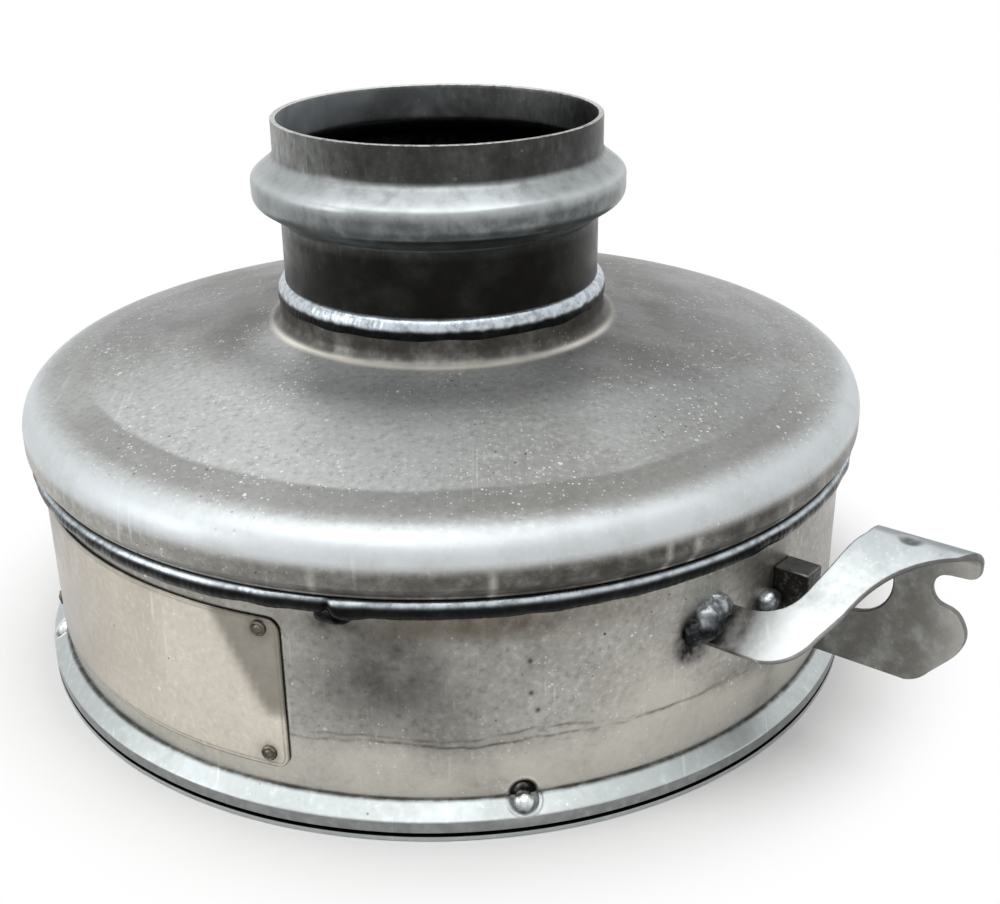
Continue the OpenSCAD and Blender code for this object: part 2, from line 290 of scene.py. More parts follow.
@dataclass(frozen=True)
class WornSteel:
    """Sheet steel with painted light on upturned faces, clouding, rolling grain, scratches, specks and placed
    marks.
    """

    slot: Slot
    # Upright faces take the wall tone; the lighter tone of upturned faces is painted light from above
    wall: Tone
    lit_top: Tone
    lit_top_span: tuple[float, float] = (0.15, 0.75)
    cloud: Tone = (0.1, 0.1, 0.1, 1.0)
    cloud_depth: float = 0.5
    cloud_scale: float = 18.0
    grain: tuple[float, float, float] = (1.0, 1.0, 0.06)
    grain_scale: float = 320.0
    grain_depth: float = 0.35
    scratch: float = 0.25
    speck: float = 0.0
    speck_scale: float = 900.0
    rough: tuple[float, float] = (0.30, 0.52)
    metallic: float = 1.0
    relief: float = 0.00006
    marks: tuple[Mark, ...] = ()

    def material(self) -> bpy.types.Material:
        """Builds the finish.

        Returns:
            The material, coloured from upright to upturned faces with painted light that makes
            upturned faces lighter, then clouded, grained, scratched, specked and marked in that order.
        """
        board = NodeBoard(self.slot.value)
        # Painted light: faces turned up take the lighter tone, as if lit from above
        colour = board.blend(board.span(board.rise(), *self.lit_top_span), self.wall, self.lit_top)
        clouds = board.noise(self.cloud_scale, detail=6.0, twist=0.6)
        colour = board.blend(board.span(clouds, 0.42, 0.72, 0.0, self.cloud_depth), colour, self.cloud)
        grain = board.noise(self.grain_scale, self.grain, detail=9.0)
        pale = tuple(min(1.0, 1.5 * c) for c in self.lit_top[:3]) + (1.0,)
        colour = board.blend(board.span(grain, 0.5, 0.75, 0.0, self.grain_depth), colour, pale)
        colour = board.blend(board.span(grain, 0.5, 0.28, 0.0, self.grain_depth), colour, self.cloud)
        for turn in SCRATCH_TURNS:
            line = board.noise(430.0, (1.0, 0.05, 0.07), 2.0, turn)
            patch = board.span(board.noise(34.0, turn=turn, detail=2.0), 0.5, 0.62, 0.0, self.scratch)
            thin = board.span(line, 0.66, 0.73)
            colour = board.blend(board.calc(Calc.TIMES, thin, patch), colour, pale)
        colour = self.marked(board, colour, under=True)
        if self.speck:
            for scale, share, shade in SPECK_KINDS:
                dots = board.dots(self.speck_scale * scale, 0.5, self.speck * share)
                colour = board.blend(board.calc(Calc.TIMES, dots, 0.75), colour, shade)
        colour = self.marked(board, colour, under=False)
        board.fill(board.shader, Base_Color=colour, Metallic=self.metallic)
        board.fill(board.shader, Roughness=board.span(clouds, 0.3, 0.7, *self.rough))
        board.bump(board.calc(Calc.ADD, grain, clouds), self.relief)
        return board.material

    def marked(self, board: NodeBoard, colour: Socket, under: bool) -> Socket:
        """Lays the marks that go under or over the specks.

        Args:
            board: the material's node tree.
            colour: the colour so far.
            under: whether the marks under the specks are meant.
        Returns:
            The marked colour.
        """
        for mark in self.marks:
            if mark.under != under:
                continue
            tear = board.span(board.noise(mark.scale, detail=5.0), 0.3, 0.62, 1.0 - mark.ragged, 1.0)
            share = board.calc(Calc.TIMES, board.mark(mark.name), tear)
            colour = board.blend(board.calc(Calc.TIMES, share, mark.strength), colour, mark.colour)
        return colour


@dataclass(frozen=True)
class CellCeramic:
    """Porous ceramic with square cells, every other one plugged."""

    slot: Slot
    web: Tone
    plug: Tone
    cell: Tone
    pitch: float = 2.2

    def material(self) -> bpy.types.Material:
        """Builds the finish.

        Returns:
            The material: square cells of the pitch along X and Y, each dark or plugged in turn.
        """
        board = NodeBoard(self.slot.value)
        inside: list[Socket] = []
        odd: list[Socket] = []
        for name in ("X", "Y"):
            steps = board.calc(Calc.TIMES, board.axis(name), 1.0 / (self.pitch * MM))
            middle = board.calc(Calc.SIZE, board.calc(Calc.LESS, board.calc(Calc.WRAP, steps), 0.5))
            inside.append(board.span(middle, 0.42, 0.38))
            half = board.calc(Calc.WRAP, board.calc(Calc.TIMES, steps, 0.5))
            odd.append(board.calc(Calc.OVER, half, 0.5))
        hole = board.calc(Calc.TIMES, inside[0], inside[1])
        turn = board.calc(Calc.SIZE, board.calc(Calc.LESS, odd[0], odd[1]))
        grains = board.noise(900.0, detail=5.0)
        body = board.blend(board.span(grains, 0.35, 0.7), self.web, self.plug)
        cell = board.blend(turn, self.plug, self.cell)
        colour = board.blend(hole, body, cell)
        soot = board.span(board.noise(14.0, detail=5.0), 0.4, 0.7, 0.0, 0.55)
        colour = board.blend(soot, colour, self.cell)
        board.fill(board.shader, Base_Color=colour, Roughness=0.92)
        sunk = board.calc(Calc.TIMES, hole, board.span(turn, 0.0, 1.0, 0.25, 1.0))
        board.bump(board.calc(Calc.LESS, 1.0, sunk), 0.0012)
        return board.material


@dataclass(frozen=True)
class PackedFibre:
    """Matted fibre or knitted wire, tangled in all directions."""

    slot: Slot
    deep: Tone
    strand: Tone
    scale: float
    metallic: float

    def material(self) -> bpy.types.Material:
        """Builds the finish.

        Returns:
            The material: three crossed sets of stretched noise, light where strands lie on top.
        """
        board = NodeBoard(self.slot.value)
        tangle: Socket | None = None
        for turn in (0.0, 60.0, 120.0):
            strand = board.span(board.noise(self.scale, (1.0, 0.1, 0.1), 2.0, (turn, turn, turn)), 0.5, 0.66)
            tangle = strand if tangle is None else board.calc(Calc.MOST, tangle, strand)
        colour = board.blend(tangle, self.deep, self.strand)
        board.fill(board.shader, Base_Color=colour, Roughness=0.7, Metallic=self.metallic)
        board.bump(tangle, 0.0004)
        return board.material


@dataclass
class GridSkin:
    """A surface given on a grid of two parameters, in millimetres."""

    points: np.ndarray
    loop_u: bool = True
    loop_v: bool = True
    marks: dict[str, np.ndarray] = field(default_factory=dict)

    def quads(self) -> np.ndarray:
        """The grid's faces.

        Returns:
            Rows of four point numbers, u before v.
        """
        rows, columns = self.points.shape[:2]
        i = np.arange(rows if self.loop_u else rows - 1)[:, None]
        j = np.arange(columns if self.loop_v else columns - 1)[None, :]
        after_i, after_j = (i + 1) % rows, (j + 1) % columns
        corners = (i * columns + j, after_i * columns + j, after_i * columns + after_j, i * columns + after_j)
        return np.stack(np.broadcast_arrays(*corners), axis=-1).reshape(-1, 4)


def linked(name: str, data: bpy.types.ID) -> bpy.types.Object:
    """A new object at the origin, linked to the scene.

    Args:
        name: the object's name.
        data: its mesh, lamp or camera.
    Returns:
        The new object.
    """
    made = bpy.data.objects.new(name, data)
    bpy.context.scene.collection.objects.link(made)
    return made


def skin_object(name: str, skins: Sequence[GridSkin], sharp: float = 35.0,
                weld: bool = False) -> bpy.types.Object:
    """Turns grid surfaces into one mesh object at the origin.

    Args:
        name: the piece's name.
        skins: its surfaces.
        sharp: faces that meet at more than this angle, in degrees, keep a hard edge.
        weld: joins points that coincide, for surfaces that close in poles.
    Returns:
        The new object.
    """
    starts = np.cumsum([0] + [s.points.shape[0] * s.points.shape[1] for s in skins])
    points = np.concatenate([s.points.reshape(-1, 3) for s in skins]) * MM
    quads = np.concatenate([s.quads() + start for s, start in zip(skins, starts)])
    mesh = bpy.data.meshes.new(name)
    mesh.from_pydata(points.tolist(), [], quads.tolist())
    for mark in sorted({m for s in skins for m in s.marks}):
        layer = mesh.attributes.new(mark, "FLOAT", "POINT")
        blank = [s.marks.get(mark, np.zeros(s.points.shape[:2])) for s in skins]
        layer.data.foreach_set("value", np.concatenate([b.ravel() for b in blank]).astype(np.float32))
    if weld:
        shape = bmesh.new()
        shape.from_mesh(mesh)
        bmesh.ops.remove_doubles(shape, verts=shape.verts, dist=1e-6)
        bmesh.ops.dissolve_degenerate(shape, edges=shape.edges, dist=1e-7)
        shape.to_mesh(mesh)
        shape.free()
    mesh.shade_smooth()
    mesh.set_sharp_from_angle(angle=math.radians(sharp))
    return linked(name, mesh)


def rounded_loop(corners: Sequence[tuple[float, float, float, float]]) -> np.ndarray:
    """A closed outline with rounded corners, cut into short runs.

    Each corner is rounded by the arc that touches both its sides, and the straight run after it
    is cut to its step.

    Args:
        corners: radius, height, fillet radius and step of the run that follows, in order.
    Returns:
        Points of the outline, one row each.
    """
    at = np.array([c[:2] for c in corners], float)
    before, after = np.roll(at, 1, axis=0), np.roll(at, -1, axis=0)
    arcs: list[np.ndarray] = []
    for p, a, b, (_, _, fillet, _) in zip(at, before, after, corners):
        if fillet <= 0.0:
            arcs.append(p[None, :])
            continue
        to_a, to_b = (a - p) / np.linalg.norm(a - p), (b - p) / np.linalg.norm(b - p)
        half = math.acos(float(np.clip(to_a @ to_b, -1.0, 1.0))) / 2.0
        reach = fillet / math.tan(half)
        middle = p + (to_a + to_b) / np.linalg.norm(to_a + to_b) * fillet / math.sin(half)
        one, two = p + to_a * reach - middle, p + to_b * reach - middle
        turn = math.acos(float(np.clip(one @ two / fillet**2, -1.0, 1.0)))
        share = np.linspace(0.0, 1.0, max(4, int(turn / math.radians(7.0)) + 2))[:, None]
        blend = np.sin((1.0 - share) * turn) * one + np.sin(share * turn) * two
        arcs.append(middle + blend / math.sin(turn))
    runs: list[np.ndarray] = []
    for arc, next_arc, (_, _, _, step) in zip(arcs, arcs[1:] + arcs[:1], corners):
        count = max(1, int(np.linalg.norm(next_arc[0] - arc[-1]) / step))
        share = np.linspace(0.0, 1.0, count + 1)[1:-1, None]
        runs += [arc, arc[-1] + share * (next_arc[0] - arc[-1])]
    return np.concatenate(runs)


def turns(count: int, near: Sequence[float] = (), reach: float = 2.4, extra: int = 70) -> np.ndarray:
    """Directions round the axis, closer together at places with fine detail.

    Args:
        count: evenly spread directions.
        near: directions, in degrees, that get extra ones.
        reach: how far the extra ones spread to each side, degrees.
        extra: how many extra ones each place gets.
    Returns:
        Angles in radians, rising through one turn.
    """
    even = np.linspace(-math.pi, math.pi, count, endpoint=False)
    fine = [np.radians(np.linspace(a - reach, a + reach, extra)) for a in near]
    return np.unique(np.round(np.concatenate([even, *fine]), 6))


def round_axis(radius: np.ndarray | float, angles: np.ndarray, height: np.ndarray) -> np.ndarray:
    """Points at a radius, a direction in radians and a height about the Z axis."""
    return np.stack([radius * np.cos(angles), radius * np.sin(angles), height], axis=-1)


def lathe(outline: np.ndarray, angles: np.ndarray, swell: np.ndarray | float = 0.0) -> np.ndarray:
    """A surface turned from an outline: radius and height carried round the Z axis.

    Args:
        outline: radius and height of each point.
        angles: directions round the axis, radians.
        swell: length added to the radius at each grid point.
    Returns:
        Grid of points, one row for each angle.
    """
    radius = outline[None, :, 0] + swell
    height = np.broadcast_to(outline[None, :, 1], (len(angles), len(outline)))
    radius = np.broadcast_to(radius, height.shape)
    return round_axis(radius, angles[:, None], height)


def wander(angles: np.ndarray, seed: int, low: int, high: int) -> np.ndarray:
    """An uneven wave round the axis: a sum of cosines with seeded phases.

    Args:
        angles: directions, radians.
        seed: chooses the phases.
        low, high: fewest and most waves in a turn.
    Returns:
        Values of about -1 to 1, one for each angle.
    """
    rng = np.random.default_rng(seed)
    waves = rng.integers(low, high + 1, 9)
    phases = rng.uniform(0.0, math.tau, 9)
    return np.cos(angles[:, None] * waves + phases).sum(axis=1) / 4.5


def spot(points: np.ndarray, centre: Sequence[float], size: Sequence[float]) -> np.ndarray:
    """A soft round mask: a bell curve of the distance from a place on an upright round wall.

    Args:
        points: grid of points.
        centre: radius, direction in degrees and height of the place.
        size: spread along the wall and up it.
    Returns:
        Mask from 0 to 1 at each grid point.
    """
    radius, direction, height = centre
    turn = np.arctan2(points[..., 1], points[..., 0]) - math.radians(direction)
    along = (np.mod(turn + math.pi, math.tau) - math.pi) * radius
    return np.exp(-((along / size[0]) ** 2) - ((points[..., 2] - height) / size[1]) ** 2)


def step_up(values: np.ndarray, low: float, high: float) -> np.ndarray:
    """A smooth rise from 0 at low to 1 at high."""
    share = np.clip((values - low) / (high - low), 0.0, 1.0)
    return share * share * (3.0 - 2.0 * share)


def bell(values: np.ndarray, spread: float) -> np.ndarray:
    """A bell curve: 1 at zero, falling off over the spread."""
    return np.exp(-((values / spread) ** 2))


def facing(angles: np.ndarray, direction: float, low: float, high: float) -> np.ndarray:
    """A column that rises toward a direction in degrees, as the cosine goes from low to high."""
    return step_up(np.cos(angles - math.radians(direction)), low, high)[:, None]


def ball_radii(share: np.ndarray, radius: float) -> np.ndarray:
    """Radii along a path from -1 to 1 that swell and close like a ball."""
    return radius * np.sqrt(np.clip(1.0 - share**2, 0.0, 1.0)) + CLOSED


def press_ball(points: np.ndarray, centre: np.ndarray, radius: float) -> np.ndarray:
    """Presses a ball into a surface: points inside it move straight out to its skin.

    Args:
        points: grid of points.
        centre: middle of the ball.
        radius: its radius.
    Returns:
        The pressed points.
    """
    away = points - centre
    length = np.linalg.norm(away, axis=-1, keepdims=True)
    return np.where(length < radius, centre + away / np.maximum(length, 1e-6) * radius, points)


def turned(points: np.ndarray, degrees: float) -> np.ndarray:
    """Points turned about the Z axis.

    Args:
        points: points to turn.
        degrees: the angle.
    Returns:
        The turned points.
    """
    a = math.radians(degrees)
    spin = np.array([[math.cos(a), -math.sin(a), 0.0], [math.sin(a), math.cos(a), 0.0], [0.0, 0.0, 1.0]])
    return points @ spin.T


def pulled(first: Sequence[float], pull: Sequence[float], last: Sequence[float],
           count: int = 14) -> np.ndarray:
    """A curve pulled toward a corner: the quadratic blend of its two ends and the corner.

    Args:
        first, last: ends of the curve.
        pull: the corner.
        count: number of points.
    Returns:
        Points along the curve.
    """
    t = np.linspace(0.0, 1.0, count)[:, None]
    return (1.0 - t) ** 2 * np.array(first) + 2.0 * t * (1.0 - t) * np.array(pull) + t**2 * np.array(last)


def lump(path: np.ndarray, radius: np.ndarray, around: int, seed: int, rough: float) -> np.ndarray:
    """A lumpy bead: rings carried along a path, swelling and shrinking, closed at both ends.

    Each ring lies across the path, and its radius is the path's own radius times a seeded sum of
    cosines of the ring angle and the place along the path.

    Args:
        path: points along the middle.
        radius: radius at each path point, near zero at the ends.
        around: points in a ring.
        seed: chooses the lumps.
        rough: how far the lumps stand out, as a share of the radius.
    Returns:
        Grid of points, one row for each path point.
    """
    along = np.gradient(path, axis=0)
    along /= np.linalg.norm(along, axis=1, keepdims=True)
    side = np.cross(along, np.array([0.31, 0.2, 0.93]))
    side /= np.linalg.norm(side, axis=1, keepdims=True)
    upward = np.cross(side, along)
    ring = np.linspace(0.0, math.tau, around, endpoint=False)
    place = np.linspace(0.0, 1.0, len(path))
    rng = np.random.default_rng(seed)
    lumps = np.zeros((len(path), around))
    for waves in range(1, 6):
        shift = rng.uniform(0.0, math.tau, 2)
        round_ring = np.cos(waves * ring + shift[0])[None, :]
        lumps += round_ring * np.cos(waves * 4.1 * place + shift[1])[:, None] / waves
    size = radius[:, None] * (1.0 + rough * lumps)
    across = np.cos(ring)[None, :, None] * side[:, None, :] + np.sin(ring)[None, :, None] * upward[:, None, :]
    return path[:, None, :] + size[..., None] * across


def dress(piece: bpy.types.Object, slot: Slot, finish: bpy.types.Material, *nodes: str) -> None:
    """Gives a piece its finish and body, and logs its slot.

    Args:
        piece: the new piece.
        slot: the record's slot.
        finish: its material.
        nodes: CAD nodes that the piece stands for.
    """
    piece.data.materials.clear()
    piece.data.materials.append(finish)
    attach(piece, BODY)
    if nodes:
        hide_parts(*nodes)
    LOG.info("piece %s: %d faces, slot %s", piece.name, len(piece.data.polygons), slot.value)


def dress_node(name: str, finish: bpy.types.Material) -> None:
    """Puts a finish on a CAD node that shows as it is.

    Args:
        name: the node's name.
        finish: its material.
    """
    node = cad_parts[name]
    node.data.materials.clear()
    node.data.materials.append(finish)
    LOG.info("node %s: %d faces, finish %s", name, len(node.data.polygons), finish.name)


def bevelled_copy(node: str, name: str, width: float) -> bpy.types.Object:
    """A copy of a CAD node with its points joined and its edges eased.

    Args:
        node: the CAD node.
        name: the copy's name.
        width: width of the eased edges, millimetres.
    Returns:
        The new object.
    """
    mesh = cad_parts[node].data.copy()
    mesh.name = name
    shape = bmesh.new()
    shape.from_mesh(mesh)
    bmesh.ops.remove_doubles(shape, verts=shape.verts, dist=1e-6)
    flat = math.radians(1.5)
    bmesh.ops.dissolve_limit(shape, angle_limit=flat, verts=shape.verts, edges=shape.edges)
    shape.to_mesh(mesh)
    shape.free()
    mesh.shade_smooth()
    mesh.set_sharp_from_angle(angle=math.radians(30.0))
    made = linked(name, mesh)
    ease = made.modifiers.new("eased_edges", "BEVEL")
    ease.width = width * MM
    ease.segments = 2
    ease.limit_method = "ANGLE"
    ease.angle_limit = math.radians(40.0)
    ease.harden_normals = False
    return made


@dataclass(frozen=True)
class Patch:
    """A soft stain, or a soft patch of painted shade or light, on a round upright wall."""

    direction: float
    height: float
    along: float
    up: float
    depth: float = 1.0

    def mask(self, points: np.ndarray, radius: float) -> np.ndarray:
        """The patch's bell curve on a wall of that radius, from 0 to its depth."""
        return self.depth * spot(points, (radius, self.direction, self.height), (self.along, self.up))


@dataclass
class Can:
    """The rolled can with its clamp flange, pressed pockets and tack nuggets."""

    radius: float = 161.0
    inner: float = 159.0
    low: float = 3.0
    top: float = 95.0
    bands: tuple[tuple[float, float], ...] = ((7.0, 0.4), (20.0, 2.0), (28.0, 0.45), (42.0, 0.8), (82.0, 2.0))
    waviness: float = 0.16
    flange_radius: float = 167.5
    flange_high: float = 12.5
    flange_gap: float = 0.05
    rim_high: float = 7.7
    rim_low: float = 3.3
    lip_high: float = 1.8
    groove_deep: float = 1.6
    pocket_radius: float = 5.6
    pocket_at: tuple[float, float] = (164.4, 13.2)
    pocket_turns: tuple[float, float] = (-82.0, -166.0)
    pocket_lip: float = 0.5
    nugget_at: tuple[float, float] = (162.4, 9.7)
    nugget_radius: float = 3.8
    tide: float = 34.0
    stained: Patch = Patch(-86.0, 34.0, 95.0, 400.0, 0.6)
    tinted: Patch = Patch(-85.0, 81.0, 34.0, 400.0, 0.75)
    tint_rise: tuple[float, float] = (69.0, 79.0)
    # Painted light: a lighter patch on the wall
    painted_glow: Patch = Patch(-63.0, 40.0, 22.0, 17.0)
    burns: tuple[Patch, ...] = (
        Patch(-59.4, 60.0, 10.0, 10.0, 0.9), Patch(-49.0, 58.0, 5.0, 7.0), Patch(-103.2, 79.6, 8.5, 3.4))
    scorch: Patch = Patch(-59.5, 56.0, 7.0, 7.5, 2.6)
    scorch_floor: float = 0.5
    # Painted shade and painted reflection: darker patches on the wall, one under the strap
    shades: tuple[Patch, ...] = (
        Patch(-98.0, 62.0, 30.0, 27.0), Patch(-44.0, 22.0, 14.0, 22.0, 0.7),
        Patch(30.0, 60.0, 60.0, 30.0, 0.6), Patch(110.0, 60.0, 70.0, 30.0, 0.7))
    pits: tuple[Patch, ...] = (
        Patch(-81.1, 64.1, 0.9, 0.9), Patch(-81.0, 51.9, 0.9, 0.9), Patch(-80.2, 45.0, 0.9, 0.9))

    def pocket_centre(self, direction: float) -> np.ndarray:
        """Middle of the ball that presses the pocket at that direction, degrees."""
        return turned(np.array([self.pocket_at[0], 0.0, self.pocket_at[1]]), direction)

    def pressed(self, points: np.ndarray) -> np.ndarray:
        """Presses both tack pockets into a surface.

        Args:
            points: grid of points.
        Returns:
            The pressed points.
        """
        for direction in self.pocket_turns:
            centre = self.pocket_centre(direction)
            gap = np.linalg.norm(points - centre, axis=-1, keepdims=True) - self.pocket_radius
            lip = turned(np.array([0.6, 0.0, 0.5]), direction) * bell(gap - 0.7, 0.4)
            points = press_ball(points, centre, self.pocket_radius) + self.pocket_lip * lip * (gap > 0.0)
        return points

    def shell(self) -> bpy.types.Object:
        """Builds the can: a tube section turned round the axis, slightly out of true, pockets pressed in.

        Returns:
            The new piece.
        """
        outline = rounded_loop([
            (self.radius, self.low, 0.0, 2.0),
            *((self.radius, start, 0.0, step) for start, step in self.bands),
            (self.radius, self.top, 0.3, 1.0), (self.inner, self.top, 0.3, 12.0),
            (self.inner, self.low, 0.3, 1.0)])
        angles = turns(400, self.pocket_turns)
        wave = wander(angles, 11, 3, 14)[:, None] * np.sin(math.pi * outline[:, 1] / self.top)[None, :]
        points = self.pressed(lathe(outline, angles, self.waviness * wave))
        return skin_object("can_shell", [GridSkin(points, marks=self.stains(points, angles))])

    def patched(self, points: np.ndarray, patches: Sequence[Patch]) -> np.ndarray:
        """The sum of several stains on the can's wall."""
        return sum(patch.mask(points, self.radius) for patch in patches)

    def stains(self, points: np.ndarray, angles: np.ndarray) -> dict[str, np.ndarray]:
        """Masks of the can's tide lines, burns, pits, pockets and shaded sides.

        Args:
            points: the can's grid of points.
            angles: direction of each row, radians.
        Returns:
            A mask from 0 to 1 under each mark's name.
        """
        height = points[..., 2]
        outside = np.hypot(points[..., 0], points[..., 1]) > self.inner + 0.5
        line = self.tide + 1.2 * wander(angles, 5, 3, 22)[:, None]
        line = line + 0.35 * wander(angles, 6, 50, 120)[:, None]
        second = line + 2.2 + 1.8 * wander(angles, 8, 3, 14)[:, None]
        stain = 1.0 - self.stained.depth + self.patched(points, [self.stained])
        tint = 1.0 - self.tinted.depth + self.patched(points, [self.tinted])
        scorch = np.clip(self.patched(points, [self.scorch]) - self.scorch_floor, 0.0, None)
        # Painted shade inside each pressed pocket
        pocket = np.zeros_like(height)
        for direction in self.pocket_turns:
            gap = np.linalg.norm(points - self.pocket_centre(direction), axis=-1) - self.pocket_radius
            pocket += 1.0 - step_up(gap, 0.1, 0.9)
        masks = {
            "shade": self.patched(points, self.shades),
            "pit": self.patched(points, self.pits),
            # Lighter below the tide line: clean steel and painted reflection of the floor, plus a painted
            # light patch
            "clean": 1.0 - step_up(height - line, -9.0, 3.0) + self.patched(points, [self.painted_glow]),
            "line": stain * bell(height - line, 0.5),
            "second": stain * bell(height - second, 0.4),
            "tint": step_up(height, *self.tint_rise) * tint,
            "burn": self.patched(points, self.burns) + scorch,
            "pocket": pocket,
        }
        marks = {name: np.clip(mask, 0.0, 1.0) * outside for name, mask in masks.items()}
        return marks | {"inside": 1.0 - outside.astype(float)}

    def flange(self) -> bpy.types.Object:
        """Builds the clamp flange: sloped top, rim, groove and thin lip turned round the axis.

        Returns:
            The new piece.
        """
        rim, wall = self.flange_radius, self.radius
        bore, bed = wall + self.flange_gap, rim - self.groove_deep
        outline = rounded_loop([
            (bore, 0.0, 0.2, 1.0), (rim, 0.0, 0.4, 0.6), (rim, self.lip_high, 0.3, 0.6), (bed, 2.1, 0.0, 0.6),
            (bed, 2.8, 0.0, 0.6), (rim, self.rim_low, 0.35, 0.6), (rim, self.rim_high, 0.7, 0.35),
            (wall + 0.9, self.flange_high, 0.5, 0.4), (bore, self.flange_high, 0.0, 2.0)])
        angles = turns(420, self.pocket_turns)
        swell = 0.05 * wander(angles, 21, 6, 40)[:, None] * (outline[:, 0] > wall + 1.0)[None, :]
        points = self.pressed(lathe(outline, angles, swell))
        reach = np.hypot(points[..., 0], points[..., 1])
        keep = np.maximum(reach, bore) / reach
        points = points * np.stack([keep, keep, np.ones_like(keep)], axis=-1)
        height = points[..., 2]
        # Painted shade: the groove is blackened and the upright rim face darkened
        groove = (height < self.rim_low) & (height > self.lip_high - 0.1) & (reach > wall + 1.0)
        upright = (height < self.rim_high - 0.3) & (height > self.rim_low)
        # Painted highlight on the flange round each pocket
        pocket = sum(spot(points, (wall, a, 10.5), (7.5, 4.0)) for a in self.pocket_turns)
        marks = {
            "groove": groove.astype(float),
            "rim": upright.astype(float),
            "pocket": np.clip(pocket, 0.0, 1.0),
            "foot": step_up(height, self.flange_high - 0.8, self.flange_high),
        }
        return skin_object("clamp_flange", [GridSkin(points, marks=marks)])

    def nuggets(self) -> bpy.types.Object:
        """Builds the tack nuggets: lumpy beads on a short path across each pocket.

        Returns:
            The new piece.
        """
        share = np.linspace(-1.0, 1.0, 21)
        out, up = (np.full(len(share), v) for v in self.nugget_at)
        path = np.stack([out, self.nugget_radius * share, up], axis=-1)
        size = ball_radii(share, self.nugget_radius)
        skins = [GridSkin(turned(lump(path, size, 36, 44 + i, 0.08), a), loop_u=False)
                 for i, a in enumerate(self.pocket_turns)]
        return skin_object("tack_nuggets", skins, 60.0, weld=True)


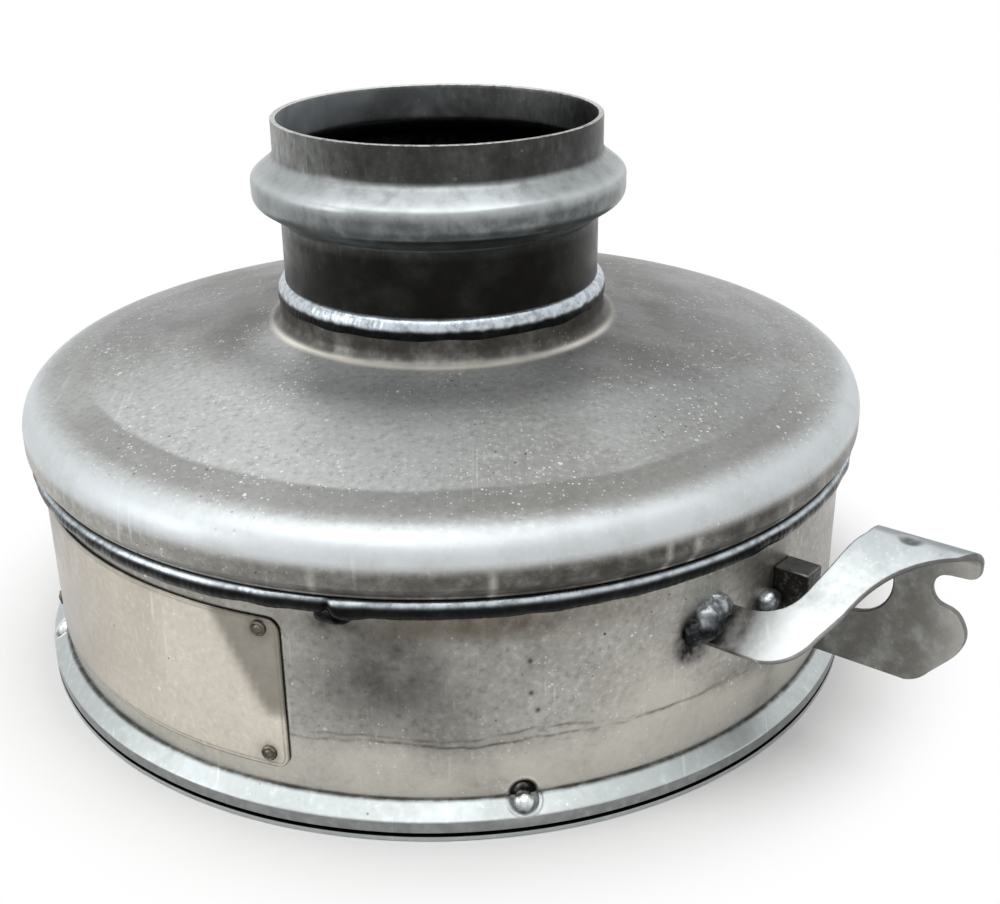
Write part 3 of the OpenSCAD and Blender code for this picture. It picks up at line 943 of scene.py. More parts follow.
@dataclass
class Dome:
    """The drawn dome with its hem, skirt, shoulder, slope and collar, and its two ring welds."""

    bore: float = 161.2
    hem: float = 163.7
    skirt: float = 166.8
    low: float = 90.0
    hem_top: float = 95.1
    shoulder: float = 12.5
    slope: float = 11.1
    slope_at: tuple[float, float] = (156.71, 113.27)
    slope_low: float = 110.0
    wall: float = 2.5
    collar_in: float = 62.2
    collar_out: float = 64.7
    collar_top: float = 141.16
    collar_shade: tuple[float, float] = (68.6, 66.6)
    fillet: float = 5.0
    fillet_line: float = 68.3
    ring_rows: tuple[tuple[float, float], ...] = ((144.0, 0.5), (136.0, 1.6))
    ring_in: tuple[float, float] = (139.0, 141.4)
    ring_out: tuple[float, float] = (151.0, 159.0)
    # Depth of the painted shade and reflection by radius, first toward the right and back, then toward the
    # front left
    shade_shut: tuple[tuple[float, float], ...] = (
        (80.0, 0.86), (95.0, 0.76), (110.0, 0.68), (130.0, 0.52), (139.0, 0.54), (146.0, 0.34), (156.0, 0.34),
        (162.0, 0.2))
    shade_open: tuple[tuple[float, float], ...] = (
        (72.0, 0.1), (78.0, 0.34), (84.0, 0.5), (90.0, 0.42), (97.0, 0.18), (106.0, 0.0))
    skirt_fade: tuple[float, float] = (99.0, 103.5)
    shine_rise: tuple[float, float] = (100.0, 104.0)
    shine_fall: tuple[float, float] = (110.5, 114.5)
    seam_centre: tuple[float, float] = (161.0, 86.4)
    seam_radius: float = 4.4
    seam_join: float = -103.7
    neck_radius: float = 62.0
    neck_weld_top: float = 147.4
    neck_weld_bulge: float = 3.0
    weld_lap: float = 1.4
    weld_root: float = 0.3

    def slope_height(self, radius: float, depth: float = 0.0) -> float:
        """Height of the dome's slope: that of its known point plus the rise over the run.

        Args:
            radius: where the height is asked for.
            depth: how far below the slope, square to it, the asked face lies.
        Returns:
            The height.
        """
        rise = math.tan(math.radians(self.slope))
        drop = depth / math.cos(math.radians(self.slope))
        return self.slope_at[1] + (self.slope_at[0] - radius) * rise - drop

    def section(self) -> np.ndarray:
        """The dome's sheet in section, as a closed outline.

        Returns:
            Radius and height of each point.
        """
        inner = self.skirt - self.wall
        return rounded_loop([
            (self.bore, self.low, 0.2, 1.0), (self.hem, self.low, 0.8, 0.5),
            (self.hem, self.low + 1.2, 0.5, 0.6), (self.skirt, self.hem_top, 2.2, 1.0),
            (self.skirt, self.slope_height(self.skirt), self.shoulder, 1.2),
            *((radius, self.slope_height(radius), 0.0, step) for radius, step in self.ring_rows),
            (self.collar_out, self.slope_height(self.collar_out), self.fillet, 0.8),
            (self.collar_out, self.collar_top, 0.3, 0.6), (self.collar_in, self.collar_top, 0.3, 3.0),
            (self.collar_in, self.slope_height(self.collar_in, self.wall), 0.0, 8.0),
            (inner, self.slope_height(inner, self.wall), self.shoulder - self.wall, 3.0),
            (inner, self.hem_top + 1.0, 0.5, 1.0), (self.bore, self.low + 2.0, 0.4, 1.0)])

    def shell(self) -> bpy.types.Object:
        """Builds the dome: its sheet section turned round the axis, with shallow draw waves.

        Returns:
            The new piece.
        """
        outline = self.section()
        angles = turns(480)
        middle = bell(outline[:, 0] - 128.0, 26.0) * (outline[:, 1] > 104.0)
        points = lathe(outline, angles)
        points[..., 2] += 0.22 * wander(angles, 31, 2, 9)[:, None] * middle[None, :]
        return skin_object("end_dome_shell", [GridSkin(points, marks=self.stains(points, outline, angles))])

    def stains(self, points: np.ndarray, outline: np.ndarray, angles: np.ndarray) -> dict[str, np.ndarray]:
        """Masks of the dome's painted shade, painted reflection ring, skirt, collar and painted bright lines.

        The painted shade lies round the collar and fades to the front left, by radius and by direction.

        Args:
            points: the dome's grid of points.
            outline: radius and height of each point of the section.
            angles: direction of each row, radians.
        Returns:
            A mask from 0 to 1 under each mark's name.
        """
        height = points[..., 2]
        reach = np.broadcast_to(outline[None, :, 0], height.shape)
        outside = 1.0 - (np.arange(len(outline)) > int(np.argmax(outline[:, 1])) + 5)[None, :]
        edge = reach + 0.7 * wander(angles, 33, 3, 24)[:, None]
        on_slope = height > self.slope_low
        # Painted reflection: a darker band on the slope toward the shoulder
        ring = step_up(edge, *self.ring_in) * (1.0 - step_up(edge, *self.ring_out)) * on_slope
        shut = np.interp(edge, *zip(*self.shade_shut))
        shut = np.clip(shut * (1.0 + 0.2 * step_up(np.sin(angles), -0.2, 0.5)[:, None]), 0.0, 1.0)
        clear = np.interp(edge, *zip(*self.shade_open))
        skirt = (1.0 - step_up(height, *self.skirt_fade)) * (reach > self.bore)
        # The skirt's brownish dark tone is deepened toward the front as painted shade
        front = np.clip(-np.sin(angles - 0.35), 0.0, 1.0)[:, None] ** 1.5
        front = np.minimum(front, facing(angles, -65.0, 0.35, 0.9) + (np.cos(angles) > 0.3)[:, None])
        collar = (self.slope_height(r) for r in self.collar_shade)
        masks = {
            # Painted shade and reflection round the collar, lighter toward the front left
            "soot": (shut + (clear - shut) * facing(angles, -112.0, 0.2, 0.9)) * on_slope,
            "ring": ring * (0.3 + 0.7 * facing(angles, -92.0, 0.3, 0.6)),
            "skirt": skirt * (0.12 + 0.88 * front),
            "collar": step_up(height, *collar),
            # Painted highlights: a line at the fillet's foot, brightest at the front, and a band on the
            # shoulder
            "fillet": bell(reach - self.fillet_line, 1.3) * (0.15 + 0.85 * facing(angles, -92.0, 0.1, 0.65)),
            "shoulder": step_up(height, *self.shine_rise) * (1.0 - step_up(height, *self.shine_fall)),
            "streak": skirt * step_up(wander(angles, 35, 40, 190), 0.85, 1.25)[:, None],
        }
        marks = {name: mask * outside for name, mask in masks.items()}
        return marks | {"inside": np.broadcast_to(1.0 - outside, height.shape)}

    def seam(self) -> bpy.types.Object:
        """Builds the seam weld: a round bead on the can, with stacked ripples and one overlap.

        The bead's radius is its plain radius plus curved ripples along the seam, an uneven
        wander and a swelling where the run ends on its own start.

        Returns:
            The new piece.
        """
        ring, level = self.seam_centre
        angles = turns(1500)
        degrees = np.linspace(-90.0, 50.0, 21)
        section = np.radians(degrees)
        arch = np.cos(section - math.radians(-20.0))[None, :]
        phase = (angles * ring)[:, None] / 3.1 + 0.55 * wander(angles, 51, 20, 90)[:, None]
        phase = phase - 0.55 * (1.0 - arch)
        ripple = np.abs(np.sin(math.pi * phase)) ** 0.6
        past = ((angles - math.radians(self.seam_join)) * ring)[:, None]
        swell = bell(past - 5.0, 6.0) - 1.3 * bell(past, 1.3)
        ride_up = bell(past, 34.0) * (1.0 - step_up(past, -1.5, 1.5))
        size = self.seam_radius - 0.25 + 0.18 * ripple * arch + 0.26 * wander(angles, 52, 9, 80)[:, None]
        size = size + 1.1 * swell * arch
        radius = ring + size * np.cos(section)[None, :]
        height = level + ride_up + size * np.sin(section)[None, :]
        ends = len(angles), 1
        root = np.full(ends, ring - self.weld_root)
        radius = np.concatenate([root, radius, root], axis=1)
        height = np.concatenate([
            height[:, :1] + 0.3, np.minimum(height, self.low - 0.02), np.full(ends, self.low - 0.05)], axis=1)
        points = round_axis(radius, angles[:, None], height)
        # Painted shade on the bead's lower side and a painted highlight along its crest
        under = np.concatenate([[1.0], step_up(-degrees, -24.0, -6.0), [0.0]])
        crest = np.concatenate([[0.0], bell(degrees - 33.0, 10.0), [0.0]])
        burn = spot(points, (ring, self.seam_join + 0.6, 82.5), (8.0, 3.6))
        marks = {
            "under": np.broadcast_to(under[None, :], burn.shape),
            "bright": np.broadcast_to(crest[None, :], burn.shape),
            "burn": np.maximum(burn, bell(past, 1.5)),
        }
        share = np.linspace(-1.0, 1.0, 25)
        drip_turn = np.radians(self.seam_join + 0.5 + 2.4 * share)
        path = round_axis(ring + 0.4, drip_turn, level - 3.6 + 0.8 * share)
        blob = lump(path, ball_radii(share, 3.5), 30, 55, 0.16)
        drip = GridSkin(blob, loop_u=False, marks={"burn": np.ones(blob.shape[:2])})
        return skin_object("seam_weld_bead", [GridSkin(points, marks=marks), drip], 70.0, weld=True)

    def neck_ring(self) -> bpy.types.Object:
        """Builds the neck weld: a low round bead between collar and pipe with fine ripples.

        The bead's radius is the pipe's plus a bulge that falls off upward, ripples and a wander.

        Returns:
            The new piece.
        """
        angles = turns(760)
        share = np.linspace(0.0, 1.0, 18)
        foot = self.collar_top - self.weld_lap
        tall = self.neck_weld_top - foot
        bulge = (1.0 - share**3.2) ** 0.6
        phase = angles[:, None] * self.neck_radius / 1.7 + 0.5 * wander(angles, 61, 12, 50)[:, None]
        phase = phase - 0.7 * share
        ripple = np.abs(np.sin(math.pi * phase)) ** 0.7
        fade = np.sin(math.pi * np.clip(share, 0.02, 0.98)) ** 0.5
        radius = self.neck_radius + self.neck_weld_bulge * bulge + 0.2 * (ripple - 0.6) * fade
        radius = radius + 0.14 * wander(angles, 62, 5, 60)[:, None] * fade
        sag = wander(angles, 63, 3, 22)[:, None] * (1.0 - share)
        height = foot + tall * share[None, :] + 0.35 * sag
        ends = len(angles), 1
        root = np.full(ends, self.neck_radius - self.weld_root)
        radius = np.concatenate([root, radius, root], axis=1)
        height = np.concatenate([np.full(ends, foot), height, height[:, -1:]], axis=1)
        points = round_axis(radius, angles[:, None], height)
        # Painted light on the bead's upper part and painted shade on its lower part
        split = foot + 3.2 + 0.3 * wander(angles, 64, 14, 90)[:, None]
        under = 1.0 - step_up(height - split, -0.9, 0.9)
        marks = {"under": under, "bright": 1.0 - under}
        return skin_object("neck_weld_bead", [GridSkin(points, marks=marks)], 70.0)


@dataclass
class Neck:
    """The neck pipe with its rolled bead and worn rim."""

    radius: float = 63.5
    inner: float = 61.5
    draw: float = 1.5
    low: float = 126.3
    top: float = 209.5
    bead: float = 72.5
    bead_low: float = 172.0
    bead_high: float = 195.5
    bead_ramp: float = 7.1

    def pipe(self) -> bpy.types.Object:
        """Builds the pipe: its section with the rolled bead turned round the axis, rim slightly nicked.

        Returns:
            The new piece.
        """
        lift, fall = self.bead_low + self.bead_ramp, self.bead_high - self.bead_ramp
        wall = self.radius - self.inner
        drawn = self.radius - self.draw
        hollow, inset = self.bead - wall, wall * 0.4
        outline = rounded_loop([
            (drawn, self.low, 0.3, 3.0), (drawn, self.bead_low, 2.4, 0.7), (self.bead, lift, 5.5, 1.0),
            (self.bead, fall, 3.6, 0.7), (self.radius, self.bead_high, 5.0, 1.2),
            (self.radius, self.top, 0.4, 0.5), (self.inner, self.top, 0.4, 1.2),
            (self.inner, self.bead_high - inset, 3.0, 1.0),
            (hollow, fall - inset, 3.0, 1.5), (hollow, lift + inset, 3.0, 1.0),
            (drawn - wall, self.bead_low + inset, 3.0, 4.0), (drawn - wall, self.low, 0.3, 1.0)])
        angles = turns(640)
        swell = 0.06 * wander(angles, 71, 2, 9)[:, None] * np.ones(len(outline))[None, :]
        points = lathe(outline, angles, swell)
        rim = step_up(outline[:, 1], self.top - 1.2, self.top)[None, :]
        nicks = np.clip(wander(angles, 72, 30, 140) - 0.9, 0.0, 1.0)[:, None]
        points[..., 2] -= 0.55 * nicks * rim
        height = points[..., 2]
        reach = np.broadcast_to(outline[None, :, 0], height.shape)
        inside = self.inner_side(outline)[None, :] * np.ones_like(height)
        outside = 1.0 - inside
        # Painted reflection: the outside darkens toward the front, and the far inner wall takes painted shade
        front = facing(angles, -75.0, 0.0, 0.85) * outside
        far = (0.5 + 0.5 * np.sin(angles))[:, None] ** 3.0 * inside
        # Painted highlight on the left inner wall
        left = (0.5 - 0.5 * np.cos(angles))[:, None] ** 2.0 * inside
        bead = step_up(height, self.bead_low - 1.0, self.bead_low + 2.0)
        bead = bead * (1.0 - step_up(height, self.bead_high - 1.0, self.bead_high + 1.5))
        face = step_up(height, lift - 5.0, lift - 1.0) * (1.0 - step_up(height, fall - 4.5, fall - 1.0))
        marks = {
            "front": front + 0.6 * far,
            # Painted highlight on the bead's ridge and painted shade on its upright face toward the front
            "ridge": bell(height - fall - 0.6, 1.5) * outside * (reach > self.radius + 5.0),
            "face": face * front * (reach > self.radius + 4.0),
            # Painted shade deep inside the pipe, lighter near the lip
            "inside": inside * (1.0 - step_up(height, self.bead_high - 2.0, self.bead_high + 1.5)),
            "throat": left,
            "bead": bead * outside,
            "rim": rim * (reach < self.radius - 0.1) * np.ones_like(height),
            "low": (1.0 - step_up(height, self.bead_low - 3.0, self.bead_low + 1.0)) * outside,
        }
        return skin_object("neck_pipe_shell", [GridSkin(points, marks=marks)])

    def inner_side(self, outline: np.ndarray) -> np.ndarray:
        """Marks the outline points that lie on the pipe's inside with 1.

        Args:
            outline: radius and height of each point.
        Returns:
            0 or 1 for each point.
        """
        last_outer = int(np.argmax(outline[:, 1]))
        inside = np.zeros(len(outline))
        inside[last_outer + 6:] = 1.0
        return inside


@dataclass
class Plate:
    """The bare curved plate and its four rivets."""

    face: float = 161.95
    back: float = 161.15
    low: float = 20.0
    high: float = 78.0
    middle: float = -139.2
    half_turn: float = 29.2
    corner: float = 5.0
    border: float = 1.5
    # Painted reflection: a dark wedge toward the right end, leaning with height from a foot; the left end is
    # darker too
    reflection_wedge: tuple[float, float] = (0.515, 26.5)
    reflection_foot: tuple[float, float] = (38.5, 43.5)
    dull: tuple[float, float] = (62.0, 128.0)
    rubbed: Patch = Patch(-158.0, 70.0, 14.0, 16.0)
    rivet_turn: float = 26.6
    rivet_heights: tuple[float, float] = (25.2, 73.8)
    rivet_stain: float = 3.6
    rivet_head: float = 2.8
    rivet_rise: float = 1.5

    def rivet_places(self) -> list[tuple[float, float]]:
        """Direction in degrees and height of each rivet."""
        return [(self.middle + s * self.rivet_turn, z) for s in (-1.0, 1.0) for z in self.rivet_heights]

    def sheet(self) -> bpy.types.Object:
        """Builds the plate: a patch of the can's cylinder with round corners and a scribed border.

        Each row runs across the plate between its round corners, front and back rows form one
        loop, and the end columns bring the two faces together.

        Returns:
            The new piece.
        """
        tall, corner = self.high - self.low, self.corner
        rows = np.unique(np.concatenate([
            np.linspace(0.0, corner, 12), np.linspace(corner, tall - corner, 18),
            np.linspace(tall - corner, tall, 12)]))
        across = np.unique(np.concatenate([
            np.linspace(-1.0, -0.93, 16), np.linspace(-0.93, 0.93, 60), np.linspace(0.93, 1.0, 16)]))
        near = np.minimum(rows, tall - rows)
        rounding = corner - np.sqrt(np.clip(corner**2 - (corner - near) ** 2, 0.0, None))
        inset = np.where(near < corner, rounding, 0.0)
        half = math.radians(self.half_turn) * self.face - inset
        along = across[:, None] * half[None, :]
        edge = np.minimum(half[None, :] - np.abs(along), near[None, :])
        at_edge = edge < 1e-6
        scribe = bell(edge - self.border, 0.35)
        front = self.face - 0.12 * scribe - 0.25 * at_edge
        back = np.full_like(front, self.back) + 0.5 * at_edge
        radius = np.concatenate([front, back[:, ::-1]], axis=1)
        height = self.low + np.concatenate([rows, rows[::-1]])[None, :] * np.ones_like(radius)
        angle = math.radians(self.middle) + np.concatenate([along, along[:, ::-1]], axis=1) / self.face
        points = round_axis(radius, angle, height)
        stain = self.rivet_stain
        rivets = sum(spot(points, (self.face, a, z), (stain, stain)) for a, z in self.rivet_places())
        # Painted reflection wedge at the right end, and darker toward the left end
        from_end = math.radians(self.middle + self.half_turn) * self.face - angle * self.face
        lean, foot = self.reflection_wedge
        shade = 1.0 - step_up(from_end - lean * (height - foot), -3.0, 3.0)
        shade = shade * step_up(height, *self.reflection_foot)
        marks = {
            "shade": np.maximum(shade, 0.65 * step_up(from_end, *self.dull)),
            # Painted shadow along the plate's edge and on its back
            "edge": np.concatenate([bell(edge, 0.5), np.ones_like(edge)], axis=1),
            "scribe": np.concatenate([scribe, np.zeros_like(scribe)], axis=1),
            "rivet": np.clip(rivets, 0.0, 1.0),
            "wear": self.rubbed.mask(points, self.face),
        }
        return skin_object("data_plate_sheet", [GridSkin(points, loop_u=False, marks=marks)], 50.0)

    def rivets(self) -> bpy.types.Object:
        """Builds the rivets: domed heads with a turned ring, each a profile round its own axis.

        Returns:
            The new piece.
        """
        head_r = self.rivet_head
        outline = np.array([
            [0.0, -2.6], [1.5, -2.6], [1.5, -0.05], [head_r, -0.05], [head_r, 0.45], [2.55, 0.8], [2.1, 1.0],
            [1.85, 0.82], [1.55, 0.86], [1.2, 1.25], [0.7, 1.45], [0.0, self.rivet_rise]])
        head = lathe(outline, turns(32))
        skins: list[GridSkin] = []
        for direction, z in self.rivet_places():
            out = np.stack([self.face + head[..., 2], head[..., 0], z + head[..., 1]], axis=-1)
            skins.append(GridSkin(turned(out, direction), loop_v=False))
        return skin_object("plate_rivet_heads", skins, 40.0, weld=True)


@dataclass(frozen=True)
class Blob:
    """One lump of the strap's end weld, placed down the strap."""

    seed: int
    middle: float
    length: float
    radius: float
    dark: float


@dataclass
class Bracket:
    """The folded side bracket, its welds and the stop block."""

    turn: float = -40.0
    wall: float = 161.0
    strap_t0: float = 5.81
    strap_z0: float = 89.89
    strap_in: float = 40.2
    strap_out: float = 56.6
    slope: float = 37.0
    fin_low: float = 34.0
    fold_z: float = 85.5
    fold_in: float = 2.5
    fold_mid: float = 4.0
    sheet_t: float = 3.0
    sunk: float = 1.0
    notch: tuple[float, float, float] = (56.8, 73.1, 6.4)
    window: tuple[float, float, float] = (21.0, 69.8, 15.8)
    columns: int = 44
    ease: float = 0.45
    dent: tuple[float, float] = (203.6, -1.2)
    dent_size: tuple[float, float] = (3.6, 1.5)
    dent_deep: float = 0.9
    blobs: tuple[Blob, ...] = (
        Blob(81, 5.6, 6.0, 5.8, 0.0), Blob(82, 9.8, 9.0, 6.4, 0.25), Blob(83, 14.8, 6.0, 5.0, 0.9))
    block_side: float = 14.5
    block_low: float = 46.0

    def wall_x(self, offset: np.ndarray | float) -> np.ndarray | float:
        """Distance of the can's surface along the bracket's outward direction at a sideways offset."""
        return np.sqrt(self.wall**2 - np.square(offset))

    def strap_edges(self, down: np.ndarray, side: np.ndarray) -> tuple[np.ndarray, np.ndarray]:
        """Inner and outer edge of the strap.

        Args:
            down: distances down the slope from the fold.
            side: sideways offset of the same rows, for the end that meets the can.
        Returns:
            Outward distances of the two edges.
        """
        w, near = self.wall, self.strap_in
        outer = np.concatenate([
            pulled((w + 60.0, 0.0), (w + 39.0, 8.0), (w + 33.0, near - 9.0)),
            pulled((w + 28.0, near + 2.0), (w + 24.0, self.strap_out - 1.0), (w + 10.0, self.strap_out))])
        inner = np.concatenate([
            pulled((w + 26.0, 0.0), (w + 24.0, near - 33.0), (w + 21.5, near - 24.0)),
            pulled((w + 18.5, near - 14.5), (w + 15.0, near - 1.0), (w + 2.0, near))])
        at_wall = self.wall_x(side) - self.sunk
        inner_x = np.where(down > near, at_wall, np.interp(down, inner[:, 1], inner[:, 0]))
        return inner_x, np.interp(down, outer[:, 1], outer[:, 0])

    def fin_edges(self, height: np.ndarray) -> tuple[np.ndarray, np.ndarray]:
        """Inner and outer edge of the fin, with the window, the hook notch and the lobe.

        Args:
            height: heights of the rows.
        Returns:
            Outward distances of the two edges.
        """
        w, low = self.wall, self.fin_low
        notch_out, notch_z, notch_r = self.notch
        window_out, window_z, window_r = self.window
        notch_x, window_x = w + notch_out, w + window_out
        bite = np.linspace(-notch_r, notch_r, 25)
        outer = np.concatenate([
            pulled((w + 42.0, low), (w + 49.0, low), (w + 53.0, low + 6.0)),
            pulled((w + 60.0, low + 14.0), (w + 66.0, low + 22.0), (w + 62.5, low + 28.0)),
            pulled((w + 62.0, low + 29.0), (w + 60.0, low + 32.4), (notch_x, notch_z - notch_r), 8),
            np.stack([notch_x - np.sqrt(notch_r**2 - bite**2), notch_z + bite], axis=-1),
            pulled((notch_x + 4.0, notch_z + 6.5), (w + 65.6, notch_z + 6.7), (w + 65.8, notch_z + 10.2))])
        rise = np.linspace(-window_r, window_r * 0.95, 30)
        inner = np.concatenate([
            [[w - self.sunk, low], [w - self.sunk, window_z - window_r - 5.0]],
            np.stack([window_x + np.sqrt(window_r**2 - rise**2), window_z + rise], axis=-1)])
        return np.interp(height, inner[:, 1], inner[:, 0]), np.interp(height, outer[:, 1], outer[:, 0])

    def sheet(self) -> bpy.types.Object:
        """Builds the folded sheet: one strip carried up the fin, round the fold and down the strap.

        Each row runs across the strip between its edges, and the rows follow the section's middle
        line, with half the sheet to each side of it and eased edges. A small oval dent lies near
        the fold.

        Returns:
            The new piece.
        """
        height = np.unique(np.concatenate([
            np.linspace(self.fin_low + 0.4, 40.0, 12), np.linspace(40.0, 66.5, 26),
            np.linspace(66.7, 79.5, 33), np.linspace(79.52, self.fold_z, 16)]))
        end = math.radians(90.0 + self.slope)
        bend = np.linspace(0.0, end, 30)[1:-1]
        down = np.unique(np.concatenate([
            np.linspace(0.0, 8.0, 18), np.linspace(8.0, 38.0, 22), np.linspace(38.0, self.strap_in, 8),
            [self.strap_in + 0.02], np.linspace(40.4, 54.0, 14),
            np.linspace(54.0, self.strap_out - 0.4, 14)]))
        middle = np.array([-self.fold_in, self.fold_z])
        round_fold = middle + self.fold_mid * np.stack([np.cos(bend), np.sin(bend)], axis=-1)
        start = middle + self.fold_mid * np.array([math.cos(end), math.sin(end)])
        on_strap = start + down[:, None] * np.array([-math.sin(end), math.cos(end)])
        on_fin = np.stack([np.full(len(height), self.fold_mid - self.fold_in), height], axis=-1)
        line = np.concatenate([on_fin, round_fold, on_strap])
        lean = np.concatenate([np.zeros(len(height)), bend, np.full(len(down), end)])
        fin_in, fin_out = self.fin_edges(height)
        strap_in, strap_out = self.strap_edges(down, on_strap[:, 0])
        share = bend / end
        fold_in = fin_in[-1] + (strap_in[0] - fin_in[-1]) * share
        fold_out = fin_out[-1] + (strap_out[0] - fin_out[-1]) * share**2.0
        inner = np.concatenate([fin_in, fold_in, strap_in])
        outer = np.concatenate([fin_out, fold_out, strap_out])
        run = np.concatenate([[0.0], np.cumsum(np.linalg.norm(np.diff(line, axis=0), axis=1))])
        crest = run[len(height) + len(bend) // 2]
        inner = inner + 3.4 * bell(run - crest, 6.0)
        thick = np.ones(len(line))
        for row, next_row, part in ((0, 1, 0.75), (0, 1, 0.0), (-1, -2, 0.75), (-1, -2, 0.0)):
            along = line[row] - line[next_row]
            extra = line[row] + along / np.linalg.norm(along) * 0.2
            at = 0 if row == 0 else len(line)
            line = np.insert(line, at, extra, axis=0)
            lean, inner, outer = (np.insert(v, at, v[row]) for v in (lean, inner, outer))
            thick = np.insert(thick, at, part)
        columns = np.linspace(0.0, 1.0, self.columns)
        face = inner[:, None] + self.ease + columns * (outer - inner - 2.0 * self.ease)[:, None]
        cap = np.array([0.8, 0.4, -0.4, -0.8])
        back = np.array([0.25, 0.0, 0.0, 0.25]) * self.ease
        flat = np.ones(self.columns)
        x = np.concatenate([face, outer[:, None] - back, face[:, ::-1], inner[:, None] + back], axis=1)
        side = np.concatenate([flat, cap, -flat, -cap]) * self.sheet_t / 2.0
        before = np.full(len(height) + 2, -99.0)
        slope_rows = np.concatenate([before, self.fold_mid * (bend - end), down, down[-1:], down[-1:]])
        slope_rows = slope_rows[:, None]
        oval = ((x - self.dent[0]) / self.dent_size[0]) ** 2
        oval = oval + ((slope_rows - self.dent[1]) / self.dent_size[1]) ** 2
        dent = np.exp(-(oval**2))
        offset = side[None, :] * thick[:, None] - self.dent_deep * dent * (side > 0.0)[None, :]
        away = np.stack([np.cos(lean), np.sin(lean)], axis=-1)
        across = line[:, None, :] + offset[..., None] * away[:, None, :]
        points = turned(np.stack([x, across[..., 0], across[..., 1]], axis=-1), self.turn)
        whole = np.ones_like(x)
        fin = (lean < 0.2)[:, None] * whole
        under = (side < 0.0)[None, :] * whole
        on_slope = step_up(slope_rows * whole, 30.0, 38.0)
        marks = {
            "cut": np.concatenate([0.0 * flat, np.ones(4), 0.0 * flat, np.ones(4)])[None, :] * whole,
            # Painted light on the strap's top
            "pale": on_slope * step_up(x - self.wall, 8.0, 16.0) * (1.0 - under),
            "fold": bell(np.maximum(slope_rows, 0.0), 15.0) * (lean > 1.2)[:, None] * whole,
            "tint": bell(np.maximum(x - self.wall - 3.0, 0.0), 3.4) * on_slope,
            # Painted shade on the fin under the strap, lifted again at its outer lobe
            "fin": fin,
            "lobe": fin * bell(x - self.wall - 63.0, 9.0),
            # Painted shade in the dent
            "dent": dent,
            # Painted shade on the strap's underside
            "under": under * (1.0 - fin),
        }
        return skin_object("bracket_sheet", [GridSkin(points, loop_u=False, marks=marks)], 50.0, weld=True)

    def block(self) -> bpy.types.Object:
        """Builds the stop block: its own solid with eased edges."""
        return bevelled_copy("stop_block", "stop_block_body", 0.6)

    def end_weld(self) -> bpy.types.Object:
        """Builds the strap's end weld: three uneven lumps along the strap's end on the can.

        Returns:
            The new piece.
        """
        angle = math.radians(self.slope)
        share = np.linspace(-1.0, 1.0, 31)
        skins: list[GridSkin] = []
        for blob in self.blobs:
            down = self.strap_in + blob.middle + blob.length * share
            side = -(self.strap_t0 + down * math.cos(angle) + 3.0)
            level = self.strap_z0 - down * math.sin(angle) + 4.0
            path = np.stack([self.wall_x(side) + 0.3, side, level], axis=-1)
            points = turned(lump(path, ball_radii(share, blob.radius), 40, blob.seed, 0.18), self.turn)
            # Painted shade toward the bottom, with each lump's own dark share
            low = np.clip(blob.dark + 1.0 - step_up(points[..., 2], 61.0, 70.0), 0.0, 1.0)
            skins.append(GridSkin(points, loop_u=False, marks={"low": low}))
        return skin_object("strap_end_weld", skins, 60.0, weld=True)

    def block_weld(self) -> bpy.types.Object:
        """Builds the block's weld: an upright lumpy bead and a large drop.

        Returns:
            The new piece.
        """
        share = np.linspace(0.0, 1.0, 40)
        centred = 2.0 * share - 1.0
        whole = np.ones(len(share))
        side = -self.block_side - 0.6
        out = self.wall_x(self.block_side) - 0.7
        bead = np.stack([out * whole, side * whole, self.block_low + 1.0 + 13.0 * share], axis=-1)
        size = 3.6 * np.clip(1.0 - np.abs(centred) ** 4.0, 0.0, 1.0) ** 0.5 + CLOSED
        across = side - 3.4 + 5.4 * centred
        drop = np.stack([self.wall_x(across) + 0.8, across, (self.block_low + 13.2) * whole], axis=-1)
        skins = [GridSkin(turned(lump(path, radii, 36, seed, 0.06), self.turn), loop_u=False)
                 for path, radii, seed in ((bead, size, 91), (drop, ball_radii(centred, 4.6), 92))]
        for skin in skins:
            # Painted shade toward the bead's bottom
            skin.marks["low"] = 1.0 - step_up(skin.points[..., 2], 54.0, 61.0)
        return skin_object("block_weld_bead", skins, 60.0, weld=True)


